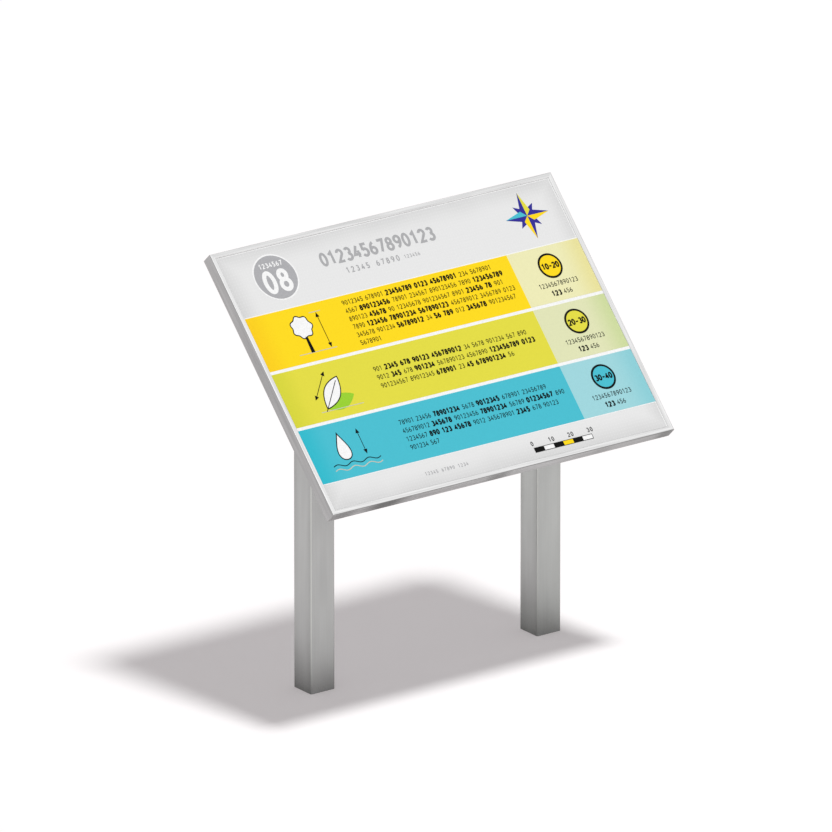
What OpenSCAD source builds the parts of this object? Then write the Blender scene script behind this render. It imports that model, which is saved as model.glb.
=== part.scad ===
// Information board: a sloped face in a folded metal frame, carried by two square posts.
// The origin is on the ground, midway between the posts' centres.
// +X runs to the reader's right, -Y towards the reader and +Z up.

/* [Board] */
// Width of the board across its face
board_w = 850; // [760:10:1000]
// Length of the board up its slope
board_h = 600; // [540:10:760]
// Depth of the board's side walls
board_d = 30; // [28:1:45]
// Slope of the face above the ground, in degrees
board_tilt = 46; // [40:1:52]
// Height of the board's lower front edge above the ground
board_edge_z = 474; // [350:2:650]
// Reach of the lower front edge in front of the posts' centres
board_reach = 259; // [235:1:280]

/* [Frame channel] */
// Thickness of the folded sheet
sheet = 1.5; // [1.5:0.5:2.5]
// Width of the front lip
lip_w = 10.5; // [9:0.5:14]
// Width of the return flange at the back
flange_w = 18; // [17:1:19]
// Width and depth of the bevel on the lip's inner edge
lip_bevel = 1; // [0.5:0.25:1.25]
// Outer radius of the bend at the front lip
lip_bend_r = 1.5; // [1:0.25:2]
// Outer radius of the bend at the return flange
flange_bend_r = 3; // [2.75:0.25:4]

/* [Face] */
// Thickness of the print panel
panel_t = 3; // [2:0.5:4]
// Gap between the panel's edges and the side walls
panel_gap = 1; // [0.5:0.5:2]
// Thickness of the gasket between lip and panel
gasket_t = 0.5; // [0.5:0.5:2]
// Distance that the gasket stays back from the lip's inner edge
gasket_back = 0; // [0:0.5:2]
// Thickness of the coloured film
film_t = 0.4; // [0.3:0.1:0.8]
// Height of one coloured band
band_h = 122; // [100:1:124]
// Distance from one band to the next
band_pitch = 129; // [126:1:134]
// Lower edge of the lowest band, up the slope
band_low = 69; // [40:0.5:80]
// Right-hand end of the strong colour, from the middle
band_split = 236; // [150:1:250]
// Gap between a film and the lip's inner edge
film_gap = 0.5; // [0.25:0.25:3]
// Radius of the round mark in the header
disc_r = 48.5; // [30:0.5:60]
// Distance of the round mark's centre from the middle
disc_u = 300.5; // [200:0.5:320]
// Place of the round mark's centre up the slope, below the top edge
disc_drop = 79; // [72:1:90]
// Outer radius of the ring in a pale field
badge_r = 28; // [15:0.5:34]
// Line width of that ring
badge_line = 3.25; // [1:0.25:5]
// Distance of the rings' centres from the middle
badge_u = 323.5; // [290:0.5:340]
// Height of a ring's centre above its band's middle
badge_rise = 17; // [0:1:25]

/* [Back of the board] */
// Thickness of the rear cover
cover_t = 1.5; // [1:0.25:2]
// Distance of the cover's edge from the board's edge
cover_inset = 4; // [4:0.5:6]
// Corner radius of the cover
cover_r = 6; // [2:1:12]
// Gap round a head plate in the cover's window
window_gap = 2; // [1:0.5:4]
// Width of an inner rail
rail_w = 60; // [56:2:70]
// Depth of an inner rail
rail_d = 20; // [18:1:21]
// Wall of an inner rail
rail_wall = 1.5; // [1.5:0.5:2]
// Outer corner radius of an inner rail
rail_r = 2.5; // [2.25:0.25:4]
// Width of a foam strip
foam_w = 14; // [10:1:20]
// Distance of a foam strip from the board's edge
foam_edge = 20; // [20:1:24]
// Thickness of the tapped bar in a rail
nut_plate_t = 6; // [5:1:8]
// Width of the tapped bar in a rail
nut_plate_w = 50; // [48:1:50]

/* [Posts] */
// Distance between the posts' centres
post_pitch = 566; // [440:2:600]
// Outer width of the square tube
post_w = 60; // [50:2:62]
// Wall of the square tube
post_wall = 3; // [2:0.5:5]
// Outer corner radius of the square tube
post_r = 4.5; // [4:0.5:6]
// Thickness of the plate in the foot
foot_t = 8; // [5:1:15]
// Radius of the tapped anchor hole, M12 thread
anchor_r = 5.1; // [4:0.1:8]
// Width of the head plate
head_w = 80; // [76:2:90]
// Length of the head plate up the slope
head_l = 180; // [176:2:200]
// Thickness of the head plate
head_t = 5; // [4:0.5:8]
// Corner radius of the head plate
head_r = 6; // [2:1:12]
// Leg of the fillet weld under the head plate
weld_leg = 3.5; // [2:0.5:4]

/* [Fasteners] */
// Nominal radius of a head bolt
bolt_r = 4; // [3:0.5:4]
// Length of a head bolt under its head
bolt_l = 20; // [18:1:22]
// Width across the flats of a bolt head
bolt_flats = 13; // [10:0.5:14]
// Height of a bolt head
bolt_head_h = 5.3; // [4:0.1:6]
// Distance between bolts across the slope
bolt_pitch_u = 36; // [30:1:38]
// Distance between bolts up the slope
bolt_pitch_v = 138; // [136:1:150]
// Outer radius of a washer
washer_r = 8; // [7:0.5:8.5]
// Thickness of a washer
washer_t = 1.6; // [1:0.1:2]
// Nominal radius of a cover screw
screw_r = 2; // [1.5:0.25:2]
// Length of a cover screw under its head
screw_l = 8; // [6:1:10]
// Radius of a cover screw's domed head
screw_head_r = 3.8; // [3:0.1:4]
// Height of a cover screw's domed head
screw_head_h = 2.2; // [1.5:0.1:2.5]
// Distance of the cover screws from the board's edge
screw_edge = 12; // [11:0.5:13]
// Number of cover screws along the top and along the bottom
screws_u = 6; // [4:2:6]
// Distance between the end screws of such a row
screw_span_u = 780; // [700:10:800]
// Number of cover screws up each side
screws_v = 3; // [2:1:4]
// Distance between the end screws up a side
screw_span_v = 300; // [200:10:400]

/* [Hidden] */
$fn = 48;
// Clearance of a bolt or screw in its hole
hole_gap = 0.5;
thread_gap = 0.05;
// Room left where one piece must not press on another
seat_gap = 0.5;
eps = 0.01;
// Depths below the front of the lip, which is the board's zero plane
face_w = -(sheet + gasket_t);
panel_back = face_w - panel_t;
flange_in = -(board_d - sheet);
head_back = flange_in - head_t;
// Place up the slope where the posts' centre line meets the back of the head plates
head_v = (board_reach + head_back * sin(board_tilt)) / cos(board_tilt);
mitre_l = post_w / cos(board_tilt);
face_u = board_w / 2 - lip_w - film_gap;
foam_span_v = board_h - 2 * (foam_edge + foam_w);
post_blank = board_edge_z + board_h;

METAL = "#A9ABA6";
LIP_METAL = "#B9BBB7";
ZINC = "#B4B8BC";
YELLOW = "#FFDE23";
LIME = "#E3DE47";
CYAN = "#4CC2D4";
PALE_YELLOW = "#F4ECB2";
PALE_LIME = "#E2E6AF";
PALE_CYAN = "#A5D8E2";
SEAL_GREY = "#C6C7C7";

// Shared shapes

// Puts a child drawn in board coordinates in its place.
// There x runs across the face, y up the slope from the lower edge, and z out of the face.
module on_board() {
    translate([0, -board_reach, board_edge_z]) rotate([board_tilt, 0, 0]) children();
}

// Rectangle about the origin with true arcs at its corners
module rounded_rect(size, r) {
    square([size[0], size[1] - 2 * r], center = true);
    square([size[0] - 2 * r, size[1]], center = true);
    for (sx = [-1, 1], sy = [-1, 1]) {
        translate([sx * (size[0] / 2 - r), sy * (size[1] / 2 - r)]) circle(r);
    }
}

// Square tube section
module tube_section(size, r, wall) {
    difference() {
        rounded_rect(size, r);
        rounded_rect([size[0] - 2 * wall, size[1] - 2 * wall], max(r - wall, 0.5));
    }
}

// Part of a square corner at the origin that a bend of radius r leaves empty
module bend_relief(r) {
    difference() {
        translate([-1, -1]) square(r + 1);
        translate([r, r]) circle(r);
    }
}

// Outline of the folded channel, lip at the top and return flange at the bottom
module channel_section() {
    inner_r = flange_bend_r - sheet;
    difference() {
        translate([0, -board_d]) square([flange_w, board_d]);
        translate([0, -board_d]) bend_relief(flange_bend_r);
        mirror([0, 1]) bend_relief(lip_bend_r);
        difference() {
            translate([sheet, flange_in]) square([flange_w, board_d - 2 * sheet]);
            translate([sheet, flange_in]) bend_relief(inner_r);
        }
        translate([lip_w, -sheet - 1]) square([flange_w, sheet + 2]);
        translate([lip_w, 0]) rotate(45) square(lip_bevel * sqrt(2), center = true);
    }
}

// Channel of the bottom side, mitred at both ends
module channel_along(length, height) {
    reach = flange_w + 1;
    intersection() {
        translate([-length / 2, 0, 0]) rotate([90, 0, 90]) linear_extrude(length) channel_section();
        translate([0, 0, -board_d - 1]) linear_extrude(board_d + 2) {
            polygon([
                [-length / 2, 0], [length / 2, 0],
                [length / 2 - reach, reach], [-length / 2 + reach, reach]
            ]);
        }
    }
}

// Head bolt places about the middle of a head plate
module at_bolts() {
    for (sx = [-1, 1], sy = [-1, 1]) {
        translate([sx * bolt_pitch_u / 2, head_v + sy * bolt_pitch_v / 2, 0]) children();
    }
}

// Cover screw places round the edge of the board
module at_screws() {
    for (i = [0 : screws_u - 1], side = [0, 1]) {
        u = screw_span_u * (i / (screws_u - 1) - 0.5);
        translate([u, screw_edge + side * (board_h - 2 * screw_edge), 0]) children();
    }
    for (i = [0 : screws_v - 1], side = [-1, 1]) {
        v = board_h / 2 + screw_span_v * (i / (screws_v - 1) - 0.5);
        translate([side * (board_w / 2 - screw_edge), v, 0]) children();
    }
}

// Tapped holes for the cover screws, through the return flanges
module flange_holes() {
    at_screws() translate([0, 0, -board_d - 1]) cylinder(r = screw_r + thread_gap, h = sheet + 2);
}

// Posts

// Solid prism of the tube's outline, from the ground to above the board
module post_prism() {
    linear_extrude(post_blank) rounded_rect([post_w, post_w], post_r);
}

// One post: square tube with its top cut to the board's slope
module post(side) {
    color(METAL) difference() {
        translate([side * post_pitch / 2, 0, 0]) {
            linear_extrude(post_blank) tube_section([post_w, post_w], post_r, post_wall);
        }
        on_board() translate([-board_w, -board_h, head_back]) {
            cube([2 * board_w, 4 * board_h, 4 * board_h]);
        }
    }
}

// Plate welded flush into the foot, tapped for the ground anchor
module foot_plate(side) {
    inside = post_w - 2 * post_wall;
    color(METAL) translate([side * post_pitch / 2, 0, 0]) difference() {
        linear_extrude(foot_t) rounded_rect([inside, inside], max(post_r - post_wall, 0.5));
        translate([0, 0, -1]) cylinder(r = anchor_r, h = foot_t + 2);
    }
}

// Plate welded on the mitred top, which the board is bolted to
module head_plate(side) {
    color(METAL) on_board() translate([side * post_pitch / 2, 0, 0]) difference() {
        translate([0, head_v, head_back]) linear_extrude(head_t) rounded_rect([head_w, head_l], head_r);
        at_bolts() translate([0, 0, head_back - 1]) cylinder(r = bolt_r + hole_gap, h = head_t + 2);
    }
}

// Fillet weld round the mitred tube, under the head plate
module head_weld(side) {
    drop = weld_leg * tan(board_tilt);
    color(ZINC) difference() {
        on_board() translate([side * post_pitch / 2, 0, 0]) hull() {
            translate([0, head_v, head_back - eps]) linear_extrude(eps) {
                rounded_rect([post_w + 2 * weld_leg, mitre_l + 2 * weld_leg], post_r + weld_leg, $fn = 32);
            }
            translate([0, head_v - drop, head_back - weld_leg]) linear_extrude(eps) {
                rounded_rect([post_w + 1, mitre_l + 1], post_r + 0.5, $fn = 32);
            }
        }
        translate([side * post_pitch / 2, 0, 0]) post_prism();
    }
}

// Bolted joint between head plates and board

// Rectangular tube inside the board, from the bottom channel to the top one
module rail(side) {
    length = board_h - 2 * (sheet + seat_gap);
    color(METAL) on_board() translate([side * post_pitch / 2, 0, 0]) difference() {
        translate([0, sheet + seat_gap + length, flange_in + rail_d / 2]) rotate([90, 0, 0]) {
            linear_extrude(length) tube_section([rail_w, rail_d], rail_r, rail_wall);
        }
        at_bolts() translate([0, 0, flange_in - 1]) cylinder(r = bolt_r + hole_gap, h = rail_wall + 2);
    }
}

// Tapped bar inside the rail, behind its back wall
module nut_plate(side) {
    bar_l = head_l - 10;
    color(ZINC) on_board() translate([side * post_pitch / 2, 0, 0]) difference() {
        translate([-nut_plate_w / 2, head_v - bar_l / 2, flange_in + rail_wall]) {
            cube([nut_plate_w, bar_l, nut_plate_t]);
        }
        at_bolts() translate([0, 0, flange_in]) {
            cylinder(r = bolt_r + thread_gap, h = rail_wall + nut_plate_t + 1);
        }
    }
}

// Hexagon bolts, driven from behind
module head_bolts() {
    head_d = bolt_flats / cos(30);
    color(ZINC) on_board() for (side = [-1, 1]) translate([side * post_pitch / 2, 0, 0]) {
        at_bolts() translate([0, 0, head_back - washer_t]) {
            translate([0, 0, -bolt_head_h]) cylinder(d = head_d, h = bolt_head_h, $fn = 6);
            translate([0, 0, -eps]) cylinder(r = bolt_r, h = bolt_l + eps);
        }
    }
}

// Washers under the bolt heads
module head_washers() {
    color(ZINC) on_board() for (side = [-1, 1]) translate([side * post_pitch / 2, 0, 0]) {
        at_bolts() translate([0, 0, head_back - washer_t]) difference() {
            cylinder(r = washer_r, h = washer_t);
            translate([0, 0, -1]) cylinder(r = bolt_r + hole_gap / 2, h = washer_t + 2);
        }
    }
}

// Frame

module frame_bottom() {
    color(LIP_METAL) on_board() difference() {
        channel_along(board_w, board_h);
        flange_holes();
    }
}

module frame_top() {
    color(LIP_METAL) on_board() difference() {
        translate([0, board_h, 0]) mirror([0, 1, 0]) channel_along(board_w, board_h);
        flange_holes();
    }
}

// Upright side of the frame, on the left for -1 and on the right for 1
module frame_side(side) {
    color(LIP_METAL) on_board() difference() {
        translate([side * board_w / 2, board_h / 2, 0]) rotate([0, 0, side * 90]) {
            channel_along(board_h, board_w);
        }
        flange_holes();
    }
}

// Face

// Flat ring of sealing strip between the lip and the panel
module face_gasket() {
    outer = sheet + panel_gap;
    inner = lip_w - gasket_back;
    color(SEAL_GREY) on_board() translate([0, board_h / 2, face_w]) linear_extrude(gasket_t) difference() {
        square([board_w - 2 * outer, board_h - 2 * outer], center = true);
        square([board_w - 2 * inner, board_h - 2 * inner], center = true);
    }
}

// Flat composite panel that carries the print
module print_panel() {
    edge = sheet + panel_gap;
    color("#DEDFDF") on_board() translate([0, board_h / 2, panel_back]) {
        linear_extrude(panel_t) square([board_w - 2 * edge, board_h - 2 * edge], center = true);
    }
}

// Rectangle of film from u0 to u1 across the face, on band number i from the bottom
module band_field(i, u0, u1) {
    translate([u0, band_low + i * band_pitch, face_w]) cube([u1 - u0, band_h, film_t]);
}

// Strong colour of one band
module band(i, shade) {
    color(shade) on_board() band_field(i, -face_u, band_split);
}

// Pale fields at the right-hand ends of the bands
module band_tints() {
    shades = [PALE_CYAN, PALE_LIME, PALE_YELLOW];
    for (i = [0 : len(shades) - 1]) {
        color(shades[i]) on_board() band_field(i, band_split, face_u);
    }
}

// Round mark in the header
module header_disc() {
    color("#B2B2B4") on_board() translate([-disc_u, board_h - disc_drop, face_w]) {
        cylinder(r = disc_r, h = film_t);
    }
}

// Centre of a badge on the film of band number i
module at_badge(i) {
    v = band_low + i * band_pitch + band_h / 2 + badge_rise;
    translate([badge_u, v, face_w + film_t]) children();
}

// Round films in the bands' strong colours, one on each pale field
module badge_discs() {
    shades = [CYAN, LIME, YELLOW];
    for (i = [0 : len(shades) - 1]) {
        color(shades[i]) on_board() at_badge(i) cylinder(r = badge_r - badge_line, h = film_t);
    }
}

// Line rings round those films
module badge_rings() {
    color("#1E1E1E") on_board() for (i = [0 : 2]) {
        at_badge(i) difference() {
            cylinder(r = badge_r, h = film_t);
            translate([0, 0, -1]) cylinder(r = badge_r - badge_line, h = film_t + 2);
        }
    }
}

// Back

// Foam strip along the bottom, notched where it bridges the rails
module foam_row() {
    length = board_w - 2 * foam_edge;
    notch_w = rail_w + 2 * seat_gap;
    difference() {
        translate([-length / 2, foam_edge, -board_d]) cube([length, foam_w, board_d + panel_back]);
        for (side = [-1, 1]) {
            translate([side * post_pitch / 2 - notch_w / 2, foam_edge - 1, -board_d - 1]) {
                cube([notch_w, foam_w + 2, sheet + rail_d + seat_gap + 1]);
            }
        }
    }
}

module foam_bottom() {
    color("#4A4C4E") on_board() foam_row();
}

module foam_top() {
    color("#4A4C4E") on_board() translate([0, board_h, 0]) mirror([0, 1, 0]) foam_row();
}

// Foam strip up one side, between the strips of the top and the bottom
module foam_side(side) {
    u = side * (board_w / 2 - foam_edge - foam_w / 2);
    color("#4A4C4E") on_board() translate([u - foam_w / 2, foam_edge + foam_w, -board_d]) {
        cube([foam_w, foam_span_v, board_d + panel_back]);
    }
}

// Sheet that closes the back, with a window for each head plate
module rear_cover() {
    size = [board_w - 2 * cover_inset, board_h - 2 * cover_inset];
    window = [head_w + 2 * window_gap, head_l + 2 * window_gap];
    color(METAL) on_board() difference() {
        translate([0, board_h / 2, -board_d - cover_t]) linear_extrude(cover_t) rounded_rect(size, cover_r);
        for (side = [-1, 1]) {
            translate([side * post_pitch / 2, head_v, -board_d - cover_t - 1]) {
                linear_extrude(cover_t + 2) rounded_rect(window, head_r + window_gap);
            }
        }
        at_screws() translate([0, 0, -board_d - cover_t - 1]) {
            cylinder(r = screw_r + hole_gap / 2, h = cover_t + 2);
        }
    }
}

// Outline of a domed screw: head below the origin, shank above it
function dome_points(r, h, steps) = [for (i = [0 : steps]) [r * cos(90 * i / steps), -h * sin(90 * i / steps)]];

module cover_screws() {
    points = concat([[0, screw_l], [screw_r, screw_l], [screw_r, 0]], dome_points(screw_head_r, screw_head_h, 6));
    color(ZINC) on_board() at_screws() translate([0, 0, -board_d - cover_t]) {
        rotate_extrude() polygon(points);
    }
}

post(-1);  // post_left
post(1);  // post_right
foot_plate(-1);  // foot_plate_left
foot_plate(1);  // foot_plate_right
head_plate(-1);  // head_plate_left
head_plate(1);  // head_plate_right
head_weld(-1);  // head_weld_left
head_weld(1);  // head_weld_right
rail(-1);  // rail_left
rail(1);  // rail_right
nut_plate(-1);  // nut_plate_left
nut_plate(1);  // nut_plate_right
head_bolts();
head_washers();
frame_top();
frame_bottom();
frame_side(-1);  // frame_left
frame_side(1);  // frame_right
face_gasket();
print_panel();
band(2, YELLOW);  // band_upper
band(1, LIME);  // band_middle
band(0, CYAN);  // band_lower
band_tints();
header_disc();
badge_discs();
badge_rings();
foam_top();
foam_bottom();
foam_side(-1);  // foam_left
foam_side(1);  // foam_right
rear_cover();
cover_screws();
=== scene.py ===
"""Information board: its metal, its printed face and its studio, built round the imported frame."""

import logging
import math
from collections.abc import Iterator
from dataclasses import dataclass, replace
from enum import Enum
from functools import cache, cached_property

import bmesh
import bpy
import numpy as np
from mathutils import Matrix, Vector


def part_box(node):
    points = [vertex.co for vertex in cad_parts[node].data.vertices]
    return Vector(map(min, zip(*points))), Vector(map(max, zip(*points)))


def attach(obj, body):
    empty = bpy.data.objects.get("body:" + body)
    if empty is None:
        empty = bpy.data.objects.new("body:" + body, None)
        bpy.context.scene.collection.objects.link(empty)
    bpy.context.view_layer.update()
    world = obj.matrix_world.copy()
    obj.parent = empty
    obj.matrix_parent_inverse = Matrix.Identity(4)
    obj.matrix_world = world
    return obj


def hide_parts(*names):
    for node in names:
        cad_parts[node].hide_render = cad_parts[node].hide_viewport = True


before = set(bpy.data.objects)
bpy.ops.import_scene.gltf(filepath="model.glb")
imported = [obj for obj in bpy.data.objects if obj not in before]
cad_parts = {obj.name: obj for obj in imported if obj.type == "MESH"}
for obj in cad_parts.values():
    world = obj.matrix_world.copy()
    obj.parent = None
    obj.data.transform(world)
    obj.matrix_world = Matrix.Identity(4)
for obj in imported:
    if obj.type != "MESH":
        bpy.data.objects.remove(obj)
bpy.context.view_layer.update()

Outputs = bpy.types.bpy_prop_collection
Socket = bpy.types.NodeSocket
Size = float | np.ndarray
Pair = tuple[float, float]
Triple = tuple[float, float, float]

MM = 0.001
BODY = "root"
LOG = logging.getLogger("information_board")


# Coordinates of the sloping board


@dataclass
class Slope:
    """The board's own coordinates, in metres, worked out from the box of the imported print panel.

    u runs across the face from its middle, v up the slope from the lower edge, and w out of the face from
    the front of the lip. The board's width and height, and the place of its lower front edge, are worked out.

    Args:
        tilt: Slope of the face above the ground, in radians.
        inset: Distance of the panel's edge from the board's edge.
        panel_t: Thickness of the print panel.
        panel_w: Level of its face.
        film_t: Thickness of the coloured films on it.
    """

    tilt: float = math.radians(46)
    inset: float = 2.5 * MM
    panel_t: float = 3 * MM
    panel_w: float = -2 * MM
    film_t: float = 0.4 * MM

    def __post_init__(self) -> None:
        """Work out the board's size and the place of its lower front edge."""
        self.rise, self.run = math.sin(self.tilt), math.cos(self.tilt)
        low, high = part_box("print_panel")
        face_z = low.z + self.panel_t * self.run
        self.width = high.x - low.x + 2 * self.inset
        self.height = (high.z - face_z) / self.rise + 2 * self.inset
        self.edge_y = low.y - self.inset * self.run + self.panel_w * self.rise
        self.edge_z = face_z - self.inset * self.rise - self.panel_w * self.run

    def place(self, points: np.ndarray) -> np.ndarray:
        """Turn board coordinates into places in the frame.

        x is u, y is the edge plus v times the run less w times the rise, and z is the edge plus v times the
        rise plus w times the run.

        Args:
            points: Board coordinates u, v, w along the last axis.

        Returns:
            World coordinates x, y, z, in an array of the same shape.
        """
        u, v, w = points[..., 0], points[..., 1], points[..., 2]
        y = self.edge_y + v * self.run - w * self.rise
        z = self.edge_z + v * self.rise + w * self.run
        return np.stack([u, y, z], axis=-1)

    def measure(self, point: Vector) -> Triple:
        """Return the board coordinates u, v, w of a place in the frame."""
        y, z = point.y - self.edge_y, point.z - self.edge_z
        return point.x, y * self.run + z * self.rise, z * self.run - y * self.rise

    def middle(self, node: str) -> Triple:
        """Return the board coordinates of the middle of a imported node's box."""
        low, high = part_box(node)
        return self.measure((low + high) / 2)

    def film(self, node: str) -> tuple[float, float, float, float]:
        """Return the left, right, lower and upper edge of a packed film on the face.

        The lowest corner of a tilted sheet's box lies off its lower edge by the thickness times the tilt's
        sine and cosine, and the highest corner lies off its upper edge by as much.

        Args:
            node: Name of the node.

        Returns:
            Two values of u and two of v.
        """
        low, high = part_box(node)
        slip = self.film_t * self.rise * self.run
        return low.x, high.x, self.measure(low)[1] + slip, self.measure(high)[1] - slip


BOARD = Slope()


# Surfaces


# Distance within which two points count as one
SAME_PLACE = 1e-7
# Radius of the hole that a flat end face closes, as a share of the face's radius
NARROW = 0.05


class Skin:
    """Rings of points in board coordinates, skinned with quads and gathered until they become one mesh."""

    def __init__(self) -> None:
        """Start with no points."""
        self.points: list[np.ndarray] = []
        self.faces: list[list[int]] = []
        self.count = 0

    def rings(self, rings: np.ndarray, closed: bool = False) -> None:
        """Skin a row of rings, from each ring to the next.

        Args:
            rings: Points, indexed by ring, by place round the ring and by coordinate.
            closed: Whether the last ring joins the first. Otherwise both end rings are closed with a face.
        """
        rows, columns = rings.shape[:2]
        index = self.count + np.arange(rows * columns).reshape(rows, columns)
        after = np.roll(index, -1, axis=1)
        quads = np.stack([index, after, np.roll(after, -1, axis=0), np.roll(index, -1, axis=0)], axis=-1)
        if not closed:
            quads = quads[:-1]
            self.faces += [index[0, ::-1].tolist(), index[-1].tolist()]
        self.faces += quads.reshape(-1, 4).tolist()
        self.points.append(rings.reshape(-1, 3))
        self.count += rows * columns

    def mesh(self, name: str) -> bpy.types.Mesh:
        """Make one mesh in its place in the frame, with doubles merged and faces turned outwards.

        Args:
            name: Name of the mesh.

        Returns:
            The mesh.
        """
        mesh = bpy.data.meshes.new(name)
        mesh.from_pydata(BOARD.place(np.concatenate(self.points)).tolist(), [], self.faces)
        work = bmesh.new()
        work.from_mesh(mesh)
        bmesh.ops.remove_doubles(work, verts=work.verts, dist=SAME_PLACE)
        bmesh.ops.recalc_face_normals(work, faces=work.faces)
        work.to_mesh(mesh)
        work.free()
        mesh.validate()
        return mesh


def unit(vectors: np.ndarray) -> np.ndarray:
    """Return vectors, one to a row, at a length of 1."""
    return vectors / np.maximum(np.linalg.norm(vectors, axis=1, keepdims=True), SAME_PLACE)


def arc(centre: Pair, radii: Pair, start: float, end: float, count: int) -> np.ndarray:
    """Return points along part of an ellipse, from one angle to another.

    Args:
        centre: Middle of the ellipse.
        radii: Its half width and half height.
        start: First angle in degrees, anticlockwise from the right.
        end: Last angle in degrees.
        count: Number of points.

    Returns:
        The points, one to a row.
    """
    angle = np.radians(np.linspace(start, end, count))
    return np.column_stack([centre[0] + radii[0] * np.cos(angle), centre[1] + radii[1] * np.sin(angle)])


def loop(centre: Pair, radii: Pair, count: int) -> np.ndarray:
    """Return points round a whole ellipse, the last one a step short of the first."""
    return arc(centre, radii, 0, 360 - 360 / count, count)


def box_outline(left: float, right: float, low: float, high: float) -> np.ndarray:
    """Return the four corners of a rectangle."""
    return np.array([[left, low], [right, low], [right, high], [left, high]])


def turned(points: np.ndarray, degrees: float) -> np.ndarray:
    """Return points u, v turned anticlockwise about the origin."""
    cosine, sine = math.cos(math.radians(degrees)), math.sin(math.radians(degrees))
    return points @ np.array([[cosine, sine], [-sine, cosine]])


def round_angles(count: int) -> np.ndarray:
    """Return even angles round a circle, in radians."""
    return np.linspace(0, 2 * math.pi, count, endpoint=False)


def hexagon(angle: np.ndarray, apothem: float) -> np.ndarray:
    """Return a hexagon's radius at each angle: the apothem over the cosine of the angle from a flat."""
    return apothem / np.cos((angle + math.pi / 6) % (math.pi / 3) - math.pi / 6)


def revolve(angle: np.ndarray, rows: list[tuple[Size, Size]]) -> np.ndarray:
    """Return rings about the w axis: the radius times the cosine and sine of each angle, at a level.

    Args:
        angle: Angles round the axis.
        rows: Radius and level of each ring, each one number or one for every angle.

    Returns:
        Points, by ring, by place round it and by coordinate.
    """
    across, up = np.cos(angle), np.sin(angle)
    rings = [(size * across, size * up, np.broadcast_to(level, angle.shape)) for size, level in rows]
    return np.stack([np.column_stack(ring) for ring in rings])


# Finishes


def linear(code: str) -> tuple[float, float, float, float]:
    """Turn an sRGB hex value into a linear colour.

    Args:
        code: A hash sign and six hex digits.

    Returns:
        Linear red, green and blue, with full alpha.
    """
    share = [int(code[i : i + 2], 16) / 255 for i in (1, 3, 5)]
    red, green, blue = ((c / 12.92) if c <= 0.04045 else ((c + 0.055) / 1.055) ** 2.4 for c in share)
    return red, green, blue, 1.0


# Setting of a MapRange node that eases from one end of its range to the other and stays within it
SMOOTH = {"interpolation_type": "SMOOTHSTEP"}
# Sockets of a Mix node of the colour kind
FACTOR, FIRST, SECOND, RESULT = 0, 6, 7, 2
# Part of a noise's range that holds most of it
NOISE_RANGE = (0.25, 0.75)


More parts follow.
